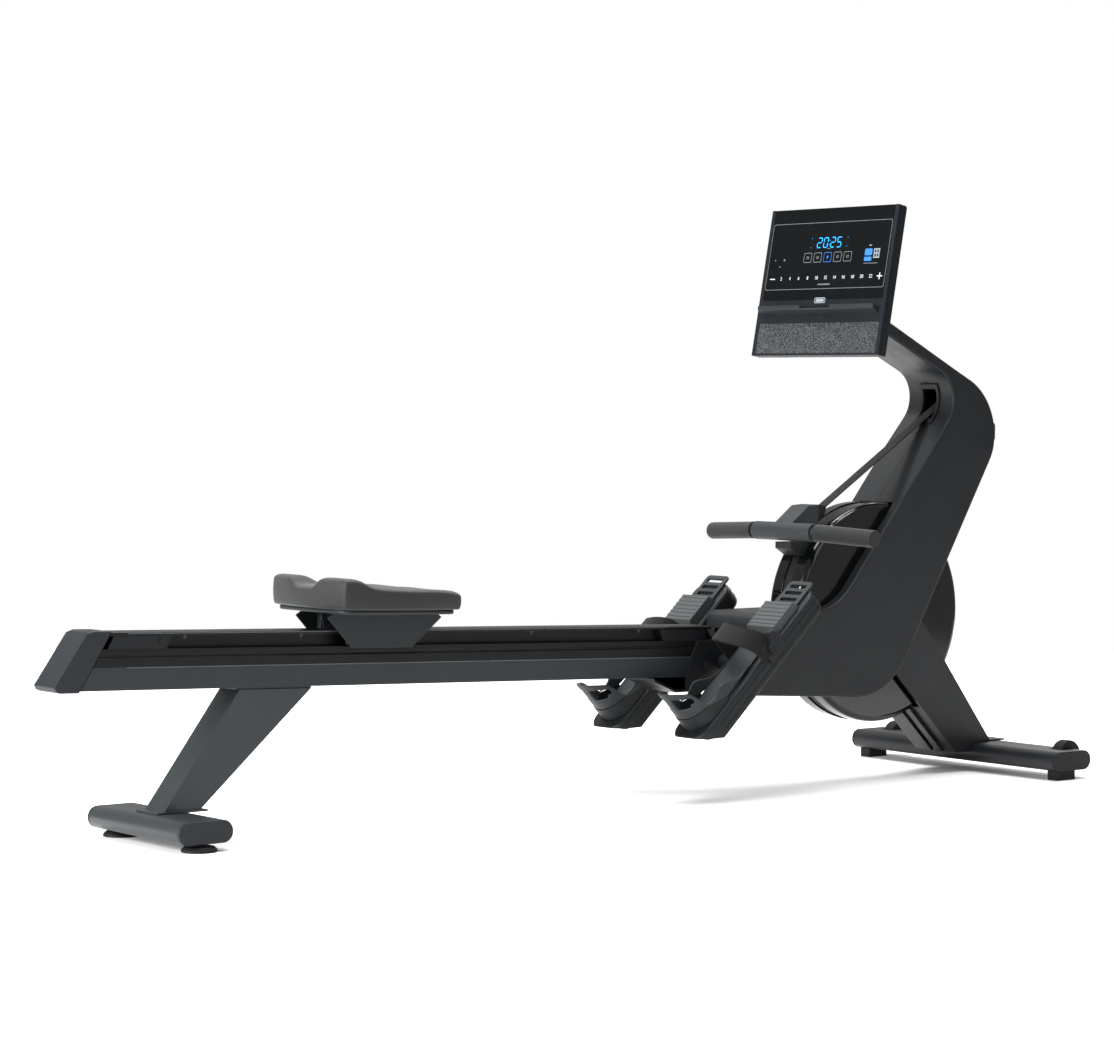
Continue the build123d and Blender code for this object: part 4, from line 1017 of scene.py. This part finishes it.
    def cup_point(self, share: float) -> tuple[float, float, float]:
        """Return how far along, out and up the cup's rim is at a share of its way round."""
        arm, reach = self.cup_arm, self.cup_radius
        turn = math.pi * reach
        way = share * (2 * arm + turn)
        if way < arm:
            along, out = arm - way, -reach
        elif way > arm + turn:
            along, out = way - arm - turn, reach
        else:
            angle = (way - arm) / reach
            along, out = -reach * math.sin(angle), -reach * math.cos(angle)
        if along > 40:
            out *= 1.0 - 0.22 * min(1.0, (along - 40.0) / 80.0) ** 1.2
        return along, out, self.rim_at(along)

    def rim_at(self, along: float) -> float:
        """Return how high the cup's rim is: level round the heel, dipping beside it, then a low wing."""
        past = along - self.cup_dip
        if past <= 0:
            share = min(1.0, -past / 26.0)
            return 68.0 + 54.0 * share * share * (3 - 2 * share) + 0.9 * max(0.0, -along - 18.0)
        dip = 18.0 * math.exp(-((past / 16.0) ** 2))
        wing = 26.0 * math.exp(-(((along - 46.0) / 26.0) ** 2))
        return self.plate_top + 3.0 + dip + wing

    def in_window(self, spot: Vector, middle: float) -> bool:
        """Say whether a point of the wall lies in one of the two windows beside the heel."""
        offset = spot - PEDAL.at(0.0, 0.0, middle)
        along, above = PEDAL_ALONG.dot(offset) / MM, PEDAL_ABOVE.dot(offset) / MM
        out = abs(offset.y) / MM
        return along < -14.0 and out > 10.0 and 95.0 < above < self.rim_at(along) - 16.0

    def grooves(self, name: str, middle: float) -> None:
        """Run the parallel ridges round the footrest's base."""
        shapes = []
        place = PEDAL.matrix(150.0, 0.0, middle)
        for low in (12.5, 26.5):
            shapes.append(prism(rounded_rectangle(365.2, 94.2, 30.0, 8), low, low + 2.2, place))
        base = new_piece(f"pedal_ridges_{name}", joined(shapes), Finish.DARK_TRIM)
        settle(base, "frame")

    def straps(self) -> None:
        """Loop the webbing over each foot: up from the buckle, over, and down behind."""
        shapes = [self.strap(hand) for hand in SIDES.values()]
        piece = new_piece("foot_webbing", joined(shapes), Finish.FOOT_STRAP, 50.0)
        settle(piece, "frame", "foot_straps")

    def strap(self, hand: int) -> BMesh:
        """Return one strap's closed band, leaning back over the sole."""
        shape = bmesh.new()
        rings = []
        for step in range(self.strap_steps + 1):
            turn = math.pi * step / self.strap_steps
            up, out = math.sin(turn), math.cos(turn)
            rise = 36.0 + 74.0 * up**0.62 * (1.0 - 0.16 * out)
            lean = -20.0 * up**2
            ring = []
            for across, side in ((-1, 0), (-0.94, 1), (0.94, 1), (1, 0), (0.94, -1), (-0.94, -1)):
                deep = side * self.strap_thick / 2
                along = self.strap_station + lean + across * self.strap_half
                middle = self.offset + out * (self.half + 2.6) + deep * out
                ring.append(shape.verts.new(PEDAL.at(along, rise + deep * up, hand * middle)))
            rings.append(ring)
        for one, two in zip(rings, rings[1:]):
            for index in range(6):
                after = (index + 1) % 6
                shape.faces.new((one[index], one[after], two[after], two[index]))
        shape.faces.new(rings[0])
        shape.faces.new(rings[-1][::-1])
        bmesh.ops.recalc_face_normals(shape, faces=shape.faces)
        return shape


@dataclass
class Handlebar:
    """The handlebar with its foam grips, sleeve, strap socket, strap and cradle."""

    def build(self) -> None:
        """Stand for the handlebar's pieces."""
        eased_node("handlebar_sleeve", Finish.SLEEVE, 2.0, 3)
        eased_node("handlebar_grips", Finish.GRIP, 1.0)
        dress_node("handlebar_tube", Finish.STEEL)
        eased_node("strap_socket", Finish.DARK_TRIM, 1.0)
        dress_node("drive_strap", Finish.STRAP)
        eased_node("handle_cradle", Finish.DARK_TRIM, 1.5)


@dataclass
class Console:
    """The tilting console: face film, display, keys, ledge and speaker cloth."""

    window_height: float = 222.0
    slant: float = 0.10
    key_pitch: float = 28.0
    key_height: float = 193.0
    scale_height: float = 152.5

    def build(self) -> None:
        """Stand for the console's shells and print its face."""
        eased_node("console_back", Finish.CONSOLE_SHELL, 1.5)
        eased_node("console_front", Finish.CONSOLE_SHELL, 0.8)
        eased_node("console_overlay", Finish.OVERLAY, 0.2, 1)
        eased_node("speaker_fabric", Finish.CLOTH, 0.5)
        # the ledge takes the paler skirt finish as a painted highlight, lighter where its top catches the
        # light
        eased_node("tablet_ledge", Finish.SKIRT, 0.8)
        dress_node("console_electronics", Finish.BOARD)
        eased_node("console_tilt_bracket", Finish.FRAME_PAINT, 0.8)
        window = prism(rounded_rectangle(118, 28, 1.5), -0.6, 0.0, console_face(0, self.window_height - 3.5))
        settle(new_piece("console_window", window, Finish.WINDOW), "console", "display_window")
        self.lines()
        self.digits()
        self.keys()
        self.scale_row()
        self.badges()

    def flat_ring(
        self, across: float, up: float, width: float, tall: float, radius: float, line: float
    ) -> BMesh:
        """Return a printed rounded frame line on the face, in millimetres."""
        shape = prism(rounded_rectangle(width, tall, radius), -0.4, 0.1, console_face(across, up))
        faces = [f for f in shape.faces if len(f.verts) > 6]
        bmesh.ops.inset_region(shape, faces=faces, thickness=line * MM, depth=0.0, use_even_offset=True)
        inner = [f for f in shape.faces if len(f.verts) > 6]
        bmesh.ops.delete(shape, geom=inner, context="FACES_ONLY")
        return shape

    def plate(self, across: float, up: float, width: float, tall: float, radius: float = 0.5) -> BMesh:
        """Return a flat printed mark on the face, in millimetres."""
        return prism(rounded_rectangle(width, tall, radius, 3), -0.4, 0.1, console_face(across, up))

    def printed(self, name: str, shapes: Iterable[BMesh], finish: Finish) -> None:
        """Make marks on the face one piece."""
        settle(new_piece(name, joined(shapes), finish), "console")

    def lines(self) -> None:
        """Print the thin rounded frame round the controls."""
        self.printed("console_frame_line", [self.flat_ring(0, 196.5, 334, 132, 5, 1.0)], Finish.LINE)

    def digits(self) -> None:
        """Light four seven-segment figures in the window, which show a time."""
        lit = {"0": "abcdef", "2": "abged", "5": "afgcd"}
        bars = {
            "a": (0, 9.6, 8.6, 1.5), "d": (0, -9.6, 8.6, 1.5), "g": (0, 0, 8.6, 1.5),
            "b": (5.4, 4.9, 1.5, 8.0), "c": (5.4, -4.9, 1.5, 8.0),
            "e": (-5.4, -4.9, 1.5, 8.0), "f": (-5.4, 4.9, 1.5, 8.0),
        }
        shapes = []
        for place, figure in zip((-27.5, -10.0, 10.0, 27.5), "2025"):
            for name in lit[figure]:
                dx, dy, width, tall = bars[name]
                shapes.append(self.lamp(place + dx + dy * self.slant, dy, width, tall))
        for dy in (-4.0, 4.0):
            shapes.append(self.lamp(dy * self.slant, dy, 1.5, 1.5))
        self.printed("console_digits", shapes, Finish.DIGIT)
        for side in (-50.0, 50.0):
            corner = [self.lamp(side, dy, 1.2, 1.2) for dy in (-9.0, 9.0)]
            self.printed(f"console_mark_{'left' if side < 0 else 'right'}", corner, Finish.DIGIT)

    def lamp(self, across: float, up: float, width: float, tall: float) -> BMesh:
        """Return one lit bar, placed from the middle of the window in millimetres."""
        outline = rounded_rectangle(width, tall, 0.6, 2)
        return prism(outline, 0.1, 0.5, console_face(across, self.window_height + up, 0.0))

    def keys(self) -> None:
        """Print the five square membrane keys, the middle one lit."""
        shapes = []
        for step in (-2, -1, 1, 2):
            across = step * self.key_pitch
            shapes.append(self.flat_ring(across, self.key_height, 22.0, 19.5, 2.6, 1.1))
            shapes.append(self.plate(across - 2, self.key_height, 1.6, 6.0))
            shapes.append(self.plate(across + 2, self.key_height, 1.6, 6.0))
        self.printed("console_keys", shapes, Finish.LINE)
        ring = self.flat_ring(0, self.key_height, 22.0, 19.5, 2.6, 1.2)
        sign = self.plate(0, self.key_height, 4.5, 6.0, 1.5)
        self.printed("console_start_key", [ring, sign], Finish.KEY_LIT)

    def scale_row(self) -> None:
        """Print the row of resistance marks between a minus and a plus."""
        level = self.scale_height
        minus, plus = -149, 152
        signs = ((minus, 14, 1.8), (plus, 15, 2.0), (plus, 2.2, 13))
        shapes = [self.plate(across, level, width, tall) for across, width, tall in signs]
        for step in range(11):
            shapes.append(self.text(str(2 * step + 2), -124 + step * 25.2, level, 9.5))
        self.printed("console_scale_row", shapes, Finish.MARK)

    def text(self, words: str, across: float, up: float, size: float) -> BMesh:
        """Return generic lettering as a flat mesh on the face.

        Args:
            words: what it says.
            across: the middle of the words, in millimetres to the right.
            up: their middle, in millimetres up the face.
            size: the type's size in millimetres.
        """
        curve = bpy.data.curves.new("lettering", "FONT")
        curve.body = words
        curve.size = size * MM
        curve.align_x = "CENTER"
        curve.align_y = "CENTER"
        curve.extrude = 0.0002
        lettering = bpy.data.objects.new("lettering", curve)
        bpy.context.scene.collection.objects.link(lettering)
        bpy.context.view_layer.update()
        mesh = bpy.data.meshes.new_from_object(lettering.evaluated_get(bpy.context.evaluated_depsgraph_get()))
        bpy.data.objects.remove(lettering)
        shape = bmesh.new()
        shape.from_mesh(mesh)
        bpy.data.meshes.remove(mesh)
        bmesh.ops.transform(shape, matrix=console_face(across, up, -0.1), verts=shape.verts)
        return shape

    def badges(self) -> None:
        """Print the small plain badges and icons."""
        badge = [self.flat_ring(-4, 108, 30, 11, 3, 1.6), self.plate(-4, 108, 22, 6, 1.5)]
        self.printed("console_badge", badge, Finish.TILE)
        # the blue tiles glow faintly, which is painted light on print
        blue = [self.plate(113, 200, 20, 13, 2), self.plate(113, 186.5, 20, 8, 1.5)]
        self.printed("console_tile_blue", blue, Finish.BLUE_TILE)
        tiles = [
            self.plate(135.5 + dx * 3.4, 197 + dy * 3.9, 2.8, 3.2, 0.3)
            for dx in range(-2, 3)
            for dy in range(-2, 3)
            if (dx * dy) % 2 == 0
        ]
        self.printed("console_tile_grey", tiles, Finish.TILE)
        icons = (
            (-148, 190, 2.6, 2.6, 1), (-122, 190, 4.6, 4.0, 1.2), (-133, 177, 5, 1.4),
            (0, 139.5, 34, 2.4, 0.8), (116, 213, 7, 3.4, 1), (122, 178, 38, 1.2, 0.4), (0, 210, 8, 1.2, 0.4),
        )
        self.printed("console_icons", [self.plate(*icon) for icon in icons], Finish.LINE)


# ---------------------------------------------------------------- studio
@dataclass
class Studio:
    """The pale floor, the soft lights and the camera."""

    eye: tuple[float, float, float] = (-3.81922, -4.76243, 0.75888)
    heading: float = 38.5
    pitch: float = 2.2756
    roll: float = 0.2342
    lens: float = 108.53
    fill: float = 0.40

    def build(self) -> None:
        """Set the floor, lights, surroundings and camera."""
        self.floor()
        self.world()
        self.light("top", (0.3, 0.6, 4.4), 4.2, 430.0)
        self.light("rear", (-5.2, 0.2, 1.8), 2.6, 520.0)
        self.light("front", (4.6, 1.6, 2.6), 2.4, 90.0)
        self.light("near", (0.5, -5.5, 3.2), 3.0, 40.0)
        self.camera()

    def floor(self) -> None:
        """Lay the pale floor."""
        shape = bmesh.new()
        bmesh.ops.create_circle(shape, cap_ends=True, segments=96, radius=3.9)
        material, tree, shader = blank_material("studio_floor")
        spot = add_node(tree, "ShaderNodeTexCoord").outputs["Object"]
        paper = add_node(tree, "ShaderNodeTexNoise", {"Vector": spot, "Scale": 2.0})
        bump = add_node(tree, "ShaderNodeBump", {"Strength": 0.02, "Height": paper.outputs["Fac"]})
        tree.links.new(bump.outputs[0], shader.inputs["Normal"])
        shader.inputs["Base Color"].default_value = (0.92, 0.92, 0.92, 1.0)
        shader.inputs["Roughness"].default_value = 0.9
        mesh = bpy.data.meshes.new("studio_floor")
        shape.to_mesh(mesh)
        shape.free()
        mesh.materials.append(material)
        floor = bpy.data.objects.new("studio_floor", mesh)
        bpy.context.scene.collection.objects.link(floor)

    def world(self) -> None:
        """Fill the surroundings with plain white light."""
        world = bpy.data.worlds.new("studio")
        world.use_nodes = True
        tree = world.node_tree
        tree.nodes.clear()
        path = add_node(tree, "ShaderNodeLightPath")
        seen = add_node(tree, "ShaderNodeBackground", {"Color": (1.0, 1.0, 1.0, 1.0), "Strength": 1.0})
        felt = add_node(tree, "ShaderNodeBackground", {"Color": (1.0, 1.0, 1.0, 1.0), "Strength": self.fill})
        choice = {0: path.outputs["Is Camera Ray"], 1: felt.outputs[0], 2: seen.outputs[0]}
        both = add_node(tree, "ShaderNodeMixShader", choice)
        add_node(tree, "ShaderNodeOutputWorld", {"Surface": both.outputs[0]})
        bpy.context.scene.world = world
        bpy.context.scene.view_settings.view_transform = "Standard"

    def light(self, name: str, spot: tuple[float, float, float], size: float, power: float) -> None:
        """Hang one square soft light that faces the machine."""
        lamp = bpy.data.lights.new(name, "AREA")
        lamp.size = size
        lamp.energy = power
        holder = bpy.data.objects.new(name, lamp)
        holder.location = spot
        holder.rotation_euler = (Vector((0.2, 0.0, 0.4)) - Vector(spot)).to_track_quat("-Z", "Y").to_euler()
        bpy.context.scene.collection.objects.link(holder)

    def camera(self) -> None:
        """Stand the camera."""
        yaw, pitch, roll = (math.radians(v) for v in (self.heading, self.pitch, self.roll))
        ahead = Vector((math.sin(yaw) * math.cos(pitch), math.cos(yaw) * math.cos(pitch), -math.sin(pitch)))
        right = Vector((math.cos(yaw), -math.sin(yaw), 0.0))
        up = right.cross(ahead)
        right, up = (
            right * math.cos(roll) + up * math.sin(roll),
            up * math.cos(roll) - right * math.sin(roll),
        )
        lens = bpy.data.cameras.new("camera")
        lens.lens = self.lens
        lens.sensor_width = 36.0
        lens.clip_end = 100.0
        eye = bpy.data.objects.new("camera", lens)
        rows = [(right[i], up[i], -ahead[i], self.eye[i]) for i in range(3)]
        eye.matrix_world = Matrix([*rows, (0.0, 0.0, 0.0, 1.0)])
        bpy.context.scene.collection.objects.link(eye)
        bpy.context.scene.camera = eye


def main() -> None:
    """Build the studio and every sub-assembly."""
    logging.basicConfig(level=logging.INFO, format="%(message)s")
    for part in (Studio(), RearSupport(), Rail(), Seat(), FrontSupport(), Tower(), Flywheel(), Pedals(),
                 Handlebar(), Console()):
        LOG.info("building %s", type(part).__name__)
        part.build()


if __name__ == "__main__":
    main()
